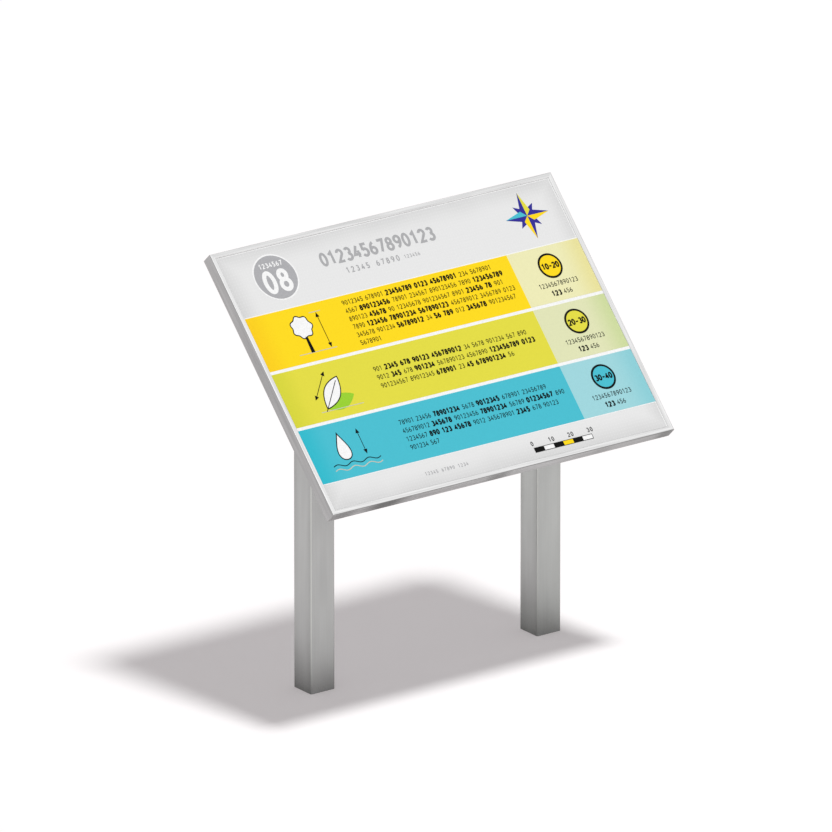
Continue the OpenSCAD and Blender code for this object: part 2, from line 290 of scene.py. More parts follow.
class Nodes:
    """The node tree of a material or a world, and the steps that its patterns are made of."""

    def __init__(self, owner: bpy.types.Material | bpy.types.World) -> None:
        """Start with an empty tree."""
        owner.use_nodes = True
        self.tree = owner.node_tree
        self.tree.nodes.clear()

    def add(self, kind: str, *values: object, **settings: object) -> Outputs:
        """Add a node with its settings and links.

        Args:
            kind: Blender's name of the node type, less its first word.
            values: Value or socket of each input in order, or one dictionary of them by name or number.
            settings: Properties of the node itself.

        Returns:
            The node's outputs.
        """
        node = self.tree.nodes.new("ShaderNode" + kind)
        for name, value in settings.items():
            setattr(node, name, value)
        inputs = values[0] if values and isinstance(values[0], dict) else dict(enumerate(values))
        for key, value in inputs.items():
            if isinstance(value, Socket):
                self.tree.links.new(value, node.inputs[key])
            else:
                node.inputs[key].default_value = value
        return node.outputs

    @cached_property
    def metres(self) -> Socket:
        """Return the object's own coordinates x, y, z, in metres."""
        return self.add("TexCoord")["Object"]

    @cached_property
    def board(self) -> Socket:
        """Return board coordinates u, v, w, in metres."""
        edge, turn = (0, BOARD.edge_y, BOARD.edge_z), (BOARD.tilt, 0, 0)
        return self.add("Mapping", self.metres, edge, turn, vector_type="TEXTURE")[0]

    @cached_property
    def xyz(self) -> Outputs:
        """Return x, y and z each on its own."""
        return self.add("SeparateXYZ", self.metres)

    @cached_property
    def uvw(self) -> Outputs:
        """Return u, v and w each on its own."""
        return self.add("SeparateXYZ", self.board)

    @cached_property
    def from_edge(self) -> Socket:
        """Return the distance to the board's nearest edge, in metres.

        It is the least of v, the board's height less v, and half its width less the size of u.

        Returns:
            The distance.
        """
        off = self.add("Math", self.uvw[0], operation="ABSOLUTE")[0]
        side = self.add("Math", BOARD.width / 2, off, operation="SUBTRACT")[0]
        top = self.add("Math", BOARD.height, self.uvw[1], operation="SUBTRACT")[0]
        level = self.add("Math", top, self.uvw[1], operation="MINIMUM")[0]
        return self.add("Math", side, level, operation="MINIMUM")[0]

    def blotches(
        self,
        vector: Socket,
        per_metre: float,
        detail: float = 2.0,
        stretch: Triple = (1, 1, 1),
        shift: Triple = (0, 0, 0),
    ) -> Socket:
        """Return soft noise from 0 to 1.

        Args:
            vector: Coordinates in metres.
            per_metre: Number of blotches to the metre.
            detail: Octaves of finer noise.
            stretch: Factor on each coordinate, where a small one draws the blotches out along it.
            shift: Distance that they are moved back by, after the stretch.

        Returns:
            The noise's value.
        """
        placed = self.add("Mapping", vector, shift, (0, 0, 0), stretch)[0]
        return self.add("TexNoise", {"Vector": placed, "Scale": per_metre, "Detail": detail})[0]

    def lay(self, lower: str | Socket, upper: str | Socket, share: Socket) -> Socket:
        """Return one colour with another laid over it.

        Args:
            lower: The lower colour, as a hex value or a socket.
            upper: The upper one, likewise.
            share: How much of the upper one shows, from 0 to 1.

        Returns:
            The mixed colour.
        """
        first, second = (linear(shade) if isinstance(shade, str) else shade for shade in (lower, upper))
        return self.add("Mix", {FACTOR: share, FIRST: first, SECOND: second}, data_type="RGBA")[RESULT]

    def vary(self, colour: str | Socket, pattern: Socket, strength: float) -> Socket:
        """Let a colour go darker and lighter with a pattern.

        Args:
            colour: The colour, as a hex value or a socket.
            pattern: Pattern from 0 to 1.
            strength: How far the colour goes to each side, as a share of itself.

        Returns:
            The new colour.
        """
        ends = (1 - strength, 1 + strength)
        share = self.add("MapRange", pattern, *NOISE_RANGE, *ends, **SMOOTH)[0]
        base = linear(colour)[:3] if isinstance(colour, str) else colour
        return self.add("VectorMath", base, share, operation="MULTIPLY")[0]

    def mottled(self, colour: str | Socket, vector: Socket, mottle: Pair) -> Socket:
        """Return a colour with faint blotches.

        Args:
            colour: The colour, as a hex value or a socket.
            vector: Coordinates in metres.
            mottle: Number of blotches to the metre, and how far they take the colour up and down.

        Returns:
            The new colour.
        """
        per_metre, strength = mottle
        return self.vary(colour, self.blotches(vector, per_metre), strength)


@dataclass(frozen=True)
class Finish:
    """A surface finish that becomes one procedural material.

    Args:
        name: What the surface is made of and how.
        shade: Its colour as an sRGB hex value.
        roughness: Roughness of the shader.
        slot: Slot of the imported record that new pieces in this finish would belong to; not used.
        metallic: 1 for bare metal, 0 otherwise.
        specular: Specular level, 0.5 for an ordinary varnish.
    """

    name: str
    shade: str
    roughness: float = 0.5
    slot: str = ""
    metallic: float = 0.0
    specular: float = 0.5

    @cache
    def material(self) -> bpy.types.Material:
        """Make the finish's one material, with its plain values on the shader and its pattern linked to it.

        Returns:
            The material, which is the same at every call.
        """
        made = bpy.data.materials.new(self.name)
        nodes = Nodes(made)
        plain = {"Roughness": self.roughness, "Metallic": self.metallic, "Specular IOR Level": self.specular}
        shader = nodes.add("BsdfPrincipled", plain | self.pattern(nodes))
        nodes.add("OutputMaterial", {"Surface": shader[0]})
        return made

    def pattern(self, nodes: Nodes) -> dict[str, Socket]:
        """Make the pattern of the finish.

        Args:
            nodes: Node tree of the material.

        Returns:
            The pattern's sockets, by the shader's inputs that they go to.
        """
        raise NotImplementedError


class Grain(Enum):
    """Direction that a surface was brushed or rolled in, by the number of its axis."""

    ACROSS = 0
    UPHILL = 1
    UPRIGHT = 2


@dataclass(frozen=True)
class BrushedSteel(Finish):
    """Stainless steel ground with a fine belt, which leaves hairlines along it and soft clouds of light.

    The real lines are 0.1 to 0.3 mm apart, too fine to show, so they are drawn 3 mm apart.

    Args:
        grain: Direction of the belt.
        front: Colour of the front lips, which are ground finer, or None.
        edge: Colour of the lips' bevelled inner edge, which the cutter leaves bright, or None.
        bend: Colour of the bends, bright where the belt ran over them and dull where it didn't.
        streak: How far the hairlines take the colour up and down, as a share of it.
        cloud: How far the clouds take it up and down.
        cloud_size: Length and width of a cloud, along the grain and across it.
        cloud_shift: Distance that the clouds are moved back along the grain.
        dark_patches: Middle, half length and strength of each dull rub mark across the board, or none.
        unshaded_half_width: Half width of the part of a tube's side that the belt reaches well, or 0 where
            that is all.
        low_side_light: Share of the finer grind on a tube's sides a hand above its foot, where the belt sets
            down.
        foot_shade: Height in which the painted shade at the foot falls to a third, and its share at the
            ground,
        on a tube's sides and on its front, or None.
    """

    grain: Grain = Grain.ACROSS
    front: str | None = None
    edge: str | None = None
    bend: str = "#B8B8B8"
    streak: float = 0.05
    cloud: float = 0.04
    cloud_size: Pair = (140 * MM, 35 * MM)
    cloud_shift: float = 0.0
    dark_patches: tuple[Triple, ...] = ()
    unshaded_half_width: float = 0.0
    low_side_light: float = 0.0
    foot_shade: tuple[Pair, Pair] | None = None

    # Colours of painted light and of painted shade
    PAINTED_LIGHT = "#E6E6E6"
    PAINTED_SHADE = "#3B3C39"
    # Length of a hairline and distance between two
    HAIRLINE = (180 * MM, 3 * MM)
    # Depth of a hairline in the bump, drawn strongly enough to show, and the bump's strength
    SCRATCH = 0.1 * MM
    SCRATCH_STRENGTH = 0.12
    # Part of the hairlines' range that roughens, and by how much from end to end
    WORN_RANGE = (0.2, 0.8)
    WORN = (-0.05, 0.07)
    # Sizes of the normal's w between which a face turns from bevel or side to front, for the painted light of
    # the lips and the painted highlight of their bevels
    FRONT = (0.8, 0.98)
    BEVEL = (0.8, 0.95)
    # Products of two parts of the normal between which a surface turns into a bend and takes the bend's
    # painted colour
    UPRIGHT_BEND = (0.38, 0.5)
    CHANNEL_BEND = (0.1, 0.5)
    # Share of a dark patch's half length that is evenly dark
    PATCH_CORE = 0.1
    # Distance in which the painted shade beside a tube's corners comes in, and its share there
    CORNER_SHADE_FADE = 18 * MM
    CORNER_SHADE_SHARE = 0.12
    # Heights in which the painted light low on a tube's sides comes and goes
    LOW_SIDE_LIGHT_RISE = (20 * MM, 120 * MM)
    LOW_SIDE_LIGHT_FALL = (110 * MM, 310 * MM)
    # Distance from the board's edge past which a slanting face is the lip's inner edge, with its painted
    # highlight
    LIP = 8 * MM
    # Height by which specks shift the painted shade at the foot up and down, and their number to the metre
    SPECK = 24 * MM
    SPECKS = 350.0

    def pattern(self, nodes: Nodes) -> dict[str, Socket]:
        """Make the clouds, the painted light and shade over them and the hairlines over all.

        Args:
            nodes: Node tree of the material.

        Returns:
            The pattern's sockets, by the shader's inputs.
        """
        lines = self.drawn_out(nodes, self.HAIRLINE, detail=3.0)
        clouds = self.drawn_out(nodes, self.cloud_size, detail=1.0, shift=self.cloud_shift)
        colour = nodes.vary(self.shade, clouds, self.cloud)
        for share, shade in self.marks(nodes):
            colour = nodes.lay(colour, shade, share)
        rough = [self.roughness + change for change in self.WORN]
        bump = {"Strength": self.SCRATCH_STRENGTH, "Distance": self.SCRATCH, "Height": lines}
        return {
            "Base Color": nodes.vary(colour, lines, self.streak),
            "Roughness": nodes.add("MapRange", lines, *self.WORN_RANGE, *rough, **SMOOTH)[0],
            "Normal": nodes.add("Bump", bump)[0],
        }

    def drawn_out(self, nodes: Nodes, size: Pair, detail: float, shift: float = 0.0) -> Socket:
        """Return noise drawn out along the grain.

        Args:
            nodes: Node tree of the material.
            size: Length and width of a streak, along the grain and across it.
            detail: Octaves of finer noise.
            shift: Distance that the streaks are moved back along the grain.

        Returns:
            The noise, from 0 to 1.
        """
        length, width = size
        stretch, place = [1.0, 1.0, 1.0], [0.0, 0.0, 0.0]
        stretch[self.grain.value] = width / length
        place[self.grain.value] = shift * stretch[self.grain.value]
        vector = nodes.metres if self.grain is Grain.UPRIGHT else nodes.board
        return nodes.blotches(vector, 1 / width, detail, stretch, place)

    def marks(self, nodes: Nodes) -> Iterator[tuple[Socket, str]]:
        """Give each mark of painted light and painted shade, from the lowest layer to the topmost.

        Args:
            nodes: Node tree of the material.

        Yields:
            The mark's share and its colour.
        """
        facing = self.facing(nodes)
        # Patches of painted shade along a channel
        if self.dark_patches:
            yield self.dark_patch_share(nodes), self.PAINTED_SHADE
        # Painted shade on a tube's sides towards its corners
        if self.unshaded_half_width:
            off = nodes.add("Math", nodes.xyz[1], operation="ABSOLUTE")[0]
            ends = (self.unshaded_half_width, self.unshaded_half_width + self.CORNER_SHADE_FADE, 0.0, self.CORNER_SHADE_SHARE)
            far = nodes.add("MapRange", off, *ends, **SMOOTH)[0]
            yield nodes.add("Math", far, facing[0], operation="MULTIPLY")[0], self.PAINTED_SHADE
        # Painted light on a tube's sides low down, which offsets the floor's shadow mirrored there
        if self.low_side_light:
            yield self.low_side_light_share(nodes, facing[0]), self.PAINTED_LIGHT
        # Painted light on the front lips
        if self.front:
            yield nodes.add("MapRange", facing[2], *self.FRONT, **SMOOTH)[0], self.front
        # Painted highlight or painted shade on the bends
        yield self.painted_bend_share(nodes, facing), self.bend
        # Painted highlight on the lips' bevelled inner edge
        if self.edge:
            inner = nodes.add("Math", nodes.from_edge, self.LIP, operation="GREATER_THAN")[0]
            slanting = nodes.add("MapRange", facing[2], *self.BEVEL, 1.0, 0.0, **SMOOTH)[0]
            yield nodes.add("Math", inner, slanting, operation="MULTIPLY")[0], self.edge
        # Painted shade at a tube's foot
        if self.foot_shade:
            ends = zip(*self.foot_shade)
            reach, ground_share = (nodes.add("MapRange", facing[1], 0.0, 1.0, *pair, **SMOOTH)[0] for pair in ends)
            left = self.foot_shade_share(nodes, reach)
            yield nodes.add("Math", left, ground_share, operation="MULTIPLY")[0], self.PAINTED_SHADE

    def facing(self, nodes: Nodes) -> list[Socket]:
        """Return how far the surface faces along each axis, of the board or of an upright tube.

        Args:
            nodes: Node tree of the material.

        Returns:
            The sizes of the normal's three parts, up to 1.
        """
        normal = nodes.add("NewGeometry")["Normal"]
        tilt = 0.0 if self.grain is Grain.UPRIGHT else BOARD.tilt
        parts = nodes.add("VectorRotate", {"Vector": normal, "Angle": -tilt}, rotation_type="X_AXIS")[0]
        return [nodes.add("Math", part, operation="ABSOLUTE")[0] for part in nodes.add("SeparateXYZ", parts)]

    def dark_patch_share(self, nodes: Nodes) -> Socket:
        """Return the share of painted shade, which falls from the middle of each dark patch to its ends.

        Args:
            nodes: Node tree of the material.

        Returns:
            The share.
        """
        total = 0.0
        for middle, half, strength in self.dark_patches:
            apart = nodes.add("Math", nodes.uvw[0], middle, operation="SUBTRACT")[0]
            off = nodes.add("Math", apart, operation="ABSOLUTE")[0]
            mark = nodes.add("MapRange", off, self.PATCH_CORE * half, half, strength, 0.0, **SMOOTH)[0]
            total = nodes.add("Math", total, mark, operation="ADD")[0]
        return total

    def low_side_light_share(self, nodes: Nodes, side: Socket) -> Socket:
        """Return the share of painted light on a tube's sides, which rises above the foot and falls away
        again.

        Args:
            nodes: Node tree of the material.
            side: How far the surface faces sideways.

        Returns:
            The share.
        """
        rising = nodes.add("MapRange", nodes.xyz[2], *self.LOW_SIDE_LIGHT_RISE, 0.0, self.low_side_light, **SMOOTH)[0]
        falling = nodes.add("MapRange", nodes.xyz[2], *self.LOW_SIDE_LIGHT_FALL, 1.0, 0.0, **SMOOTH)[0]
        both = nodes.add("Math", rising, falling, operation="MULTIPLY")[0]
        return nodes.add("Math", both, side, operation="MULTIPLY")[0]

    def painted_bend_share(self, nodes: Nodes, facing: list[Socket]) -> Socket:
        """Return the share of a bend's painted colour: 0 on flat sides and 1 in the middle of a bend, less
        where the painted shade at the foot lies on it.

        Across a bend the surface faces two ways at once, so the product of the two parts is at most a half
        there and 0 on a flat side.

        Args:
            nodes: Node tree of the material.
            facing: Parts of the normal.

        Returns:
            The share.
        """
        first, second, third = facing
        limits = self.UPRIGHT_BEND
        if self.grain is not Grain.UPRIGHT:
            limits = self.CHANNEL_BEND
            first, second = nodes.add("Math", first, second, operation="MAXIMUM")[0], third
        both = nodes.add("Math", first, second, operation="MULTIPLY")[0]
        bend = nodes.add("MapRange", both, *limits, **SMOOTH)[0]
        if not self.foot_shade:
            return bend
        foot_shading = self.foot_shade_share(nodes, self.foot_shade[0][0])
        unshaded = nodes.add("Math", 1.0, foot_shading, operation="SUBTRACT")[0]
        return nodes.add("Math", bend, unshaded, operation="MULTIPLY")[0]

    def foot_shade_share(self, nodes: Nodes, reach: float | Socket) -> Socket:
        """Return how much of the painted shade at the ground is left at each height, speckled.

        It is e to the power of minus the height over the reach.

        Args:
            nodes: Node tree of the material.
            reach: Height in which the painted shade falls to a third.

        Returns:
            The share.
        """
        specks = nodes.blotches(nodes.metres, self.SPECKS, detail=3.0)
        down = nodes.add("Math", nodes.xyz[2], -1.0, operation="MULTIPLY")[0]
        level = nodes.add("Math", specks, self.SPECK, down, operation="MULTIPLY_ADD")[0]
        power = nodes.add("Math", level, reach, operation="DIVIDE")[0]
        return nodes.add("Math", power, operation="EXPONENT")[0]


@dataclass(frozen=True)
class PrintedPanel(Finish):
    """Composite panel with a satin print: pale grey, darker near its edges, with a screen of dots.

    A lighter strip just inside the top and right lips is painted light, which fills in the shadow that the
    lips cast there.

    Args:
        rim: Colour next to the lip.
        rim_width: Width of the darker rim.
        wobble: Number of waves of the rim's inner edge to the metre, and their depth.
        dot: Colour of the screen dots.
        dot_share: How much of that colour the middle of a dot shows.
        dot_range: Sums of the two cosines between which a dot starts and is full.
        dot_pitch: Distance between dots.
        strip_light: Colour of the painted light in that strip.
        strip_reach: Distance from the board's upper and right edges to the inner end of that strip.
        mottle: Number of the ink's blotches to the metre, and how far they take the colour up and down.
    """

    rim: str = "#D0D0D0"
    rim_width: float = 76 * MM
    wobble: Pair = (9.0, 30 * MM)
    dot: str = "#F0F0F0"
    dot_share: float = 0.2
    dot_range: Pair = (0.7, 1.6)
    dot_pitch: float = 7 * MM
    strip_light: str = "#F3F3F3"
    strip_reach: float = 12.4 * MM
    mottle: Pair = (500.0, 0.008)

    def pattern(self, nodes: Nodes) -> dict[str, Socket]:
        """Make the darker rim, the dots, the painted light inside the top and right lips and a faint mottle.

        A dot is where the cosines of u and v, each turned once to a pitch, add up to nearly 2.

        Args:
            nodes: Node tree of the material.

        Returns:
            The pattern's socket, by the shader's input.
        """
        waves, depth = self.wobble
        wave = nodes.blotches(nodes.board, waves, detail=1.0)
        inside = nodes.add("Math", wave, depth, nodes.from_edge, operation="MULTIPLY_ADD")[0]
        share = nodes.add("MapRange", inside, 0.0, self.rim_width, **SMOOTH)[0]
        colour = nodes.lay(self.rim, self.shade, share)
        screen = []
        for part in nodes.uvw[:2]:
            turn = nodes.add("Math", part, 2 * math.pi / self.dot_pitch, operation="MULTIPLY")[0]
            screen.append(nodes.add("Math", turn, operation="COSINE")[0])
        total = nodes.add("Math", *screen, operation="ADD")[0]
        dots = nodes.add("MapRange", total, *self.dot_range, 0.0, self.dot_share, **SMOOTH)[0]
        colour = nodes.lay(colour, self.dot, dots)
        # Painted light in a strip just inside the top and right lips, which fills in the lips' shadow
        above = nodes.add("Math", nodes.uvw[1], BOARD.height - self.strip_reach, operation="GREATER_THAN")[0]
        beside = nodes.add("Math", nodes.uvw[0], BOARD.width / 2 - self.strip_reach, operation="GREATER_THAN")[0]
        past = nodes.add("Math", above, beside, operation="MAXIMUM")[0]
        colour = nodes.lay(colour, self.strip_light, past)
        return {"Base Color": nodes.mottled(colour, nodes.board, self.mottle)}


@dataclass(frozen=True)
class PrintedFilm(Finish):
    """Vinyl film with a satin colour that gets a little deeper towards its left-hand end.

    Args:
        deep: Colour at that end.
        fade: Values of u where the deeper end starts and stops.
        mottle: Number of the ink's blotches to the metre, and how far they take the colour up and down.
    """

    deep: str = "#FACE08"
    fade: Pair = (-414 * MM, -350 * MM)
    mottle: Pair = (250.0, 0.012)

    def pattern(self, nodes: Nodes) -> dict[str, Socket]:
        """Make the deeper end and a faint mottle of the ink.

        Args:
            nodes: Node tree of the material.

        Returns:
            The pattern's socket, by the shader's input.
        """
        share = nodes.add("MapRange", nodes.uvw[0], *self.fade, 1.0, 0.0, **SMOOTH)[0]
        colour = nodes.lay(self.shade, self.deep, share)
        return {"Base Color": nodes.mottled(colour, nodes.board, self.mottle)}


@dataclass(frozen=True)
class FilmRow(Finish):
    """Vinyl films in three colours, one above the other, each deeper at its right-hand end.

    Args:
        below: Colours of the lowest and the middle film, where shade is that of the highest.
        deeps: Colours at their right-hand ends, from the lowest film to the highest.
        limits: Values of v where the middle and the highest film start.
        fade: Values of u where the deeper end starts and stops.
        mottle: Number of the ink's blotches to the metre, and how far they take the colour up and down.
    """

    below: tuple[str, str] = ("#9ED5DC", "#E0E3B7")
    deeps: tuple[str, str, str] = ("#8ACDD6", "#CBD99C", "#E8E099")
    limits: Pair = (195 * MM, 324 * MM)
    fade: Pair = (350 * MM, 420 * MM)
    mottle: Pair = (250.0, 0.012)

    def pattern(self, nodes: Nodes) -> dict[str, Socket]:
        """Choose each film's colour by its height and deepen it to the right.

        Args:
            nodes: Node tree of the material.

        Returns:
            The pattern's socket, by the shader's input.
        """
        tests = [nodes.add("Math", nodes.uvw[1], limit, operation="GREATER_THAN")[0] for limit in self.limits]
        rows = []
        for low, middle, high in ((*self.below, self.shade), self.deeps):
            rows.append(nodes.lay(nodes.lay(low, middle, tests[0]), high, tests[1]))
        share = nodes.add("MapRange", nodes.uvw[0], *self.fade, **SMOOTH)[0]
        return {"Base Color": nodes.mottled(nodes.lay(*rows, share), nodes.board, self.mottle)}


@dataclass(frozen=True)
class Ink(Finish):
    """Screen ink or sealant: an even, slightly satin colour with a faint mottle.

    Args:
        mottle: Number of blotches to the metre, and how far they take the colour up and down.
    """

    mottle: Pair = (300.0, 0.05)

    def pattern(self, nodes: Nodes) -> dict[str, Socket]:
        """Return the mottled colour for the shader."""
        return {"Base Color": nodes.mottled(self.shade, nodes.metres, self.mottle)}


@dataclass(frozen=True)
class CellFoam(Finish):
    """Closed-cell foam: dark grey and matt, with cells that are drawn twice their real 0.7 mm.

    Args:
        cells: Number of cells to the metre, and how far they take the colour up and down.
        pit: Strength and depth of the pits in the bump.
    """

    cells: Pair = (700.0, 0.15)
    pit: Pair = (0.4, 0.3 * MM)

    def pattern(self, nodes: Nodes) -> dict[str, Socket]:
        """Make the cells in colour and bump.

        Args:
            nodes: Node tree of the material.

        Returns:
            The pattern's sockets, by the shader's inputs.
        """
        per_metre, tone = self.cells
        strength, depth = self.pit
        cells = nodes.add("TexVoronoi", {"Vector": nodes.metres, "Scale": per_metre})[0]
        pits = nodes.add("Bump", {"Strength": strength, "Distance": depth, "Height": cells})[0]
        return {"Base Color": nodes.vary(self.shade, cells, tone), "Normal": pits}


@dataclass(frozen=True)
class ZincPlate(Finish):
    """Zinc-plated steel: bluish grey, with a faint crystal mottle and duller patches.

    Args:
        crystals: Number of crystals to the metre, and how far they take the colour up and down.
        patches: Number of patches to the metre.
        patch_range: Values of the patches' noise where the metal is shiniest and dullest.
        worn: Change of roughness from the shiniest patch to the dullest.
    """

    crystals: Pair = (450.0, 0.12)
    patches: float = 120.0
    patch_range: Pair = (0.3, 0.7)
    worn: Pair = (-0.06, 0.1)

    def pattern(self, nodes: Nodes) -> dict[str, Socket]:
        """Make the mottle in colour and the patches in roughness.

        Args:
            nodes: Node tree of the material.

        Returns:
            The pattern's sockets, by the shader's inputs.
        """
        per_metre, strength = self.crystals
        crystals = nodes.add("TexVoronoi", {"Vector": nodes.metres, "Scale": per_metre})[0]
        patches = nodes.blotches(nodes.metres, self.patches, detail=3.0)
        mottle = nodes.add("Math", crystals, patches, operation="MULTIPLY")[0]
        rough = [self.roughness + change for change in self.worn]
        return {
            "Base Color": nodes.vary(self.shade, mottle, strength),
            "Roughness": nodes.add("MapRange", patches, *self.patch_range, *rough, **SMOOTH)[0],
        }


@dataclass(frozen=True)
class WeldBead(Finish):
    """Bare weld metal: grey with straw heat tint in soft patches.

    Args:
        straw: Colour of the heat tint.
        patches: Number of tinted patches to the metre.
        tint: Values of the patches' noise where the tint starts and is full, and its share there.
        grit: Number of grains to the metre, and how far they take the colour up and down.
    """

    straw: str = "#A08F70"
    patches: float = 70.0
    tint: Triple = (0.4, 0.7, 0.6)
    grit: Pair = (900.0, 0.12)

    def pattern(self, nodes: Nodes) -> dict[str, Socket]:
        """Make the heat tint and a fine grain.

        Args:
            nodes: Node tree of the material.

        Returns:
            The pattern's socket, by the shader's input.
        """
        start, full, most = self.tint
        patches = nodes.blotches(nodes.metres, self.patches)
        share = nodes.add("MapRange", patches, start, full, 0.0, most, **SMOOTH)[0]
        colour = nodes.lay(self.shade, self.straw, share)
        return {"Base Color": nodes.mottled(colour, nodes.metres, self.grit)}


METAL = {"metallic": 1.0}
SATIN = {"roughness": 0.5, "specular": 0.15}

# Ground upright with a belt: satin grey, with a painted highlight on each corner, painted shade beside the
# corners and at the foot, and painted light low on the sides
POST_STEEL = BrushedSteel(
    "Belt-ground stainless tube", "#B3B4B3", 0.48, **METAL, grain=Grain.UPRIGHT, bend="#C8CAC6",
    unshaded_half_width=10 * MM, low_side_light=0.12, foot_shade=((43 * MM, 0.44), (43 * MM, 0.3)),
)
# A lighter copy of the same tube for the right post: painted light that offsets the shadow mirrored in it,
# with more painted light low on its sides and its painted shade reaching higher on its front
LIGHTENED_POST_STEEL = replace(
    POST_STEEL, name="Belt-ground stainless tube, brighter", shade="#B6B8B6",
    low_side_light=0.24, foot_shade=((43 * MM, 0.44), (92 * MM, 0.39)),
)
# Ground flat: a little darker and shinier than the tube
PLATE_STEEL = BrushedSteel("Ground stainless plate", "#A9A9A9", 0.42, **METAL, grain=Grain.UPHILL)
# Left as it came from the rolls: the dullest of the steels
RAIL_STEEL = BrushedSteel("Rolled stainless tube", "#A0A09F", 0.45, **METAL, grain=Grain.UPHILL)
# Belt-ground before folding: streaks along each side and cloudy walls, with painted light on the lips
CHANNEL = BrushedSteel(
    "Folded stainless channel", "#ABABAB", 0.42, **METAL,
    front="#BCBCBC", streak=0.08, cloud=0.2, cloud_size=(170 * MM, 14 * MM),
)
# Patches of painted shade along the lower channel, and a broad one over its right half
DARK_PATCHES = (
    (-395 * MM, 45 * MM, 0.35), (-290 * MM, 70 * MM, 0.68), (-10 * MM, 42 * MM, 0.38),
    (250 * MM, 30 * MM, 0.1), (408 * MM, 33 * MM, 0.38), (330 * MM, 400 * MM, 0.28),
)
# How the channel of each side differs: painted light on the bottom channel, painted shade on the top lip and
# on the bottom and left bends, and painted highlights on the lips' inner edges
CHANNELS = {
    "top": {"front": "#B4B4B4", "edge": "#E6E6E6", "bend": "#ABABAB"},
    "bottom": {"shade": "#BCBCBC", "edge": "#C4C4C4", "bend": "#868686", "cloud": 0.08, "dark_patches": DARK_PATCHES},
    "left": {"grain": Grain.UPHILL, "bend": "#9C9C9C", "cloud": 0.12, "cloud_shift": 430 * MM},
    "right": {"grain": Grain.UPHILL, "edge": "#DADADA"},
}
# Straight from the mill: cool, even and slightly milky
COVER_ALUMINIUM = BrushedSteel(
    "Mill-finish aluminium sheet", "#C0C2C4", 0.45, **METAL, streak=0.03, cloud=0.03, bend="#C9CBCD"
)
# Electroplated: bluish, brighter than the steel round it
ZINC = ZincPlate("Zinc-plated steel", "#B9BEC4", 0.34, "zinc_steel", **METAL)
# Left unground: rippled, with straw heat tint
WELD = WeldBead("Bare weld metal", "#8E8E8C", 0.42, "weld_steel", **METAL)
# Cured in place: matt and almost the colour of the panel, so that the joint hardly shows
SEAL = Ink("Light grey silicone sealant", "#C6C7C7", roughness=0.7, specular=0.2)
# Cut from sheet: matt, with open cells
FOAM = CellFoam("Closed-cell foam", "#4A4C4E", roughness=0.9, specular=0.2)
# Printed and matt laminated: no mirror image, only a soft sheen
PANEL = PrintedPanel("Laminated print on composite panel", "#E7E7E7", **SATIN)
# Cast vinyl, laid by hand: flat, strong and even colours
YELLOW = PrintedFilm("Yellow cast vinyl film", "#FDDA0C", slot="film_yellow", **SATIN)
LIME = PrintedFilm("Lime cast vinyl film", "#E2DB40", slot="film_lime", deep="#D5D437", **SATIN)
CYAN = PrintedFilm("Cyan cast vinyl film", "#46BDCF", slot="film_cyan", deep="#2BB9CB", **SATIN)
PALE = FilmRow("Pale printed vinyl film", "#EDEAB7", **SATIN)
STRONG = (CYAN.shade, LIME.shade, YELLOW.shade)
BADGES = FilmRow("Cut vinyl film in three colours", YELLOW.shade, below=STRONG[:2], deeps=STRONG, **SATIN)
GREY = Ink("Grey cast vinyl film", "#ADADB0", **SATIN)
# Screen printed: dense and even, with crisp edges
WHITE_INK = Ink("White screen ink", "#F6F6F6", slot="film_pale", **SATIN)
BLACK_INK = Ink("Black screen ink", "#0A0A0A", roughness=0.6, slot="film_black", specular=0.05)
GREY_INK = Ink("Grey screen ink", "#ACACAE", slot="film_grey", **SATIN)
GUIDE_INK = Ink("Light grey screen ink", "#C9C6B4", slot="film_grey", **SATIN)
GREEN_INK = Ink("Green screen ink", "#97CF2C", slot="film_lime", **SATIN)
BLUE_INK = Ink("Dark blue screen ink", "#2B2590", slot="film_black", **SATIN)


# Printed marks


# Width of a digit's cell, as a share of its height
DIGIT_WIDTH = 0.56


def digit_strokes(digit: str, fine: float) -> list[tuple[np.ndarray, bool]]:
    """Return the strokes of a plain digit in a cell 0.56 wide and 1 high.

    Round parts are whole ellipses and arcs of them, and straight parts run between corners of the cell.

    Args:
        digit: A character from 0 to 9, a dash or a space.
        fine: Share of the full number of points on the round parts.

    Returns:
        Centre lines, each with whether it closes on itself.
    """
    left, middle, right, low, high = 0.07, 0.28, 0.49, 0.07, 0.93
    bowl, cap = (0.21, 0.23), (0.18, 0.2)
    whole, part = max(12, round(44 * fine)), max(6, round(16 * fine))
    swan = arc((middle, 0.69), (0.2, 0.24), 165, -25, part)
    loops = {
        "0": [((middle, 0.5), (0.21, 0.43))],
        "6": [((middle, 0.3), bowl)],
        "8": [((middle, 0.71), (0.17, 0.2)), ((middle, 0.29), bowl)],
        "9": [((middle, 0.7), bowl)],
    }
    lines = {
        "-": [[(0.08, 0.45), (0.48, 0.45)]],
        "1": [[(0.1, 0.74), (0.32, high), (0.32, low)]],
        "2": [[*swan, (left, low), (right, low)]],
        "3": [arc((0.27, 0.72), cap, 150, -90, part), arc((0.27, 0.29), (0.22, 0.23), 90, -150, part)],
        "4": [[(0.36, high), (left, 0.3), (0.53, 0.3)], [(0.39, 0.56), (0.39, low)]],
        "5": [[(0.46, high), (0.13, high), (0.11, 0.5)], arc((0.26, 0.32), (0.22, 0.26), 135, -150, part)],
        "6": [arc((0.42, 0.3), (0.35, 0.6), 100, 180, part)],
        "7": [[(left, high), (right, high), (0.2, low)]],
        "9": [arc((0.14, 0.7), (0.35, 0.6), 0, -80, part)],
    }
    closed = [(loop(*shape, whole), True) for shape in loops.get(digit, [])]
    return closed + [(np.array(line), False) for line in lines.get(digit, [])]


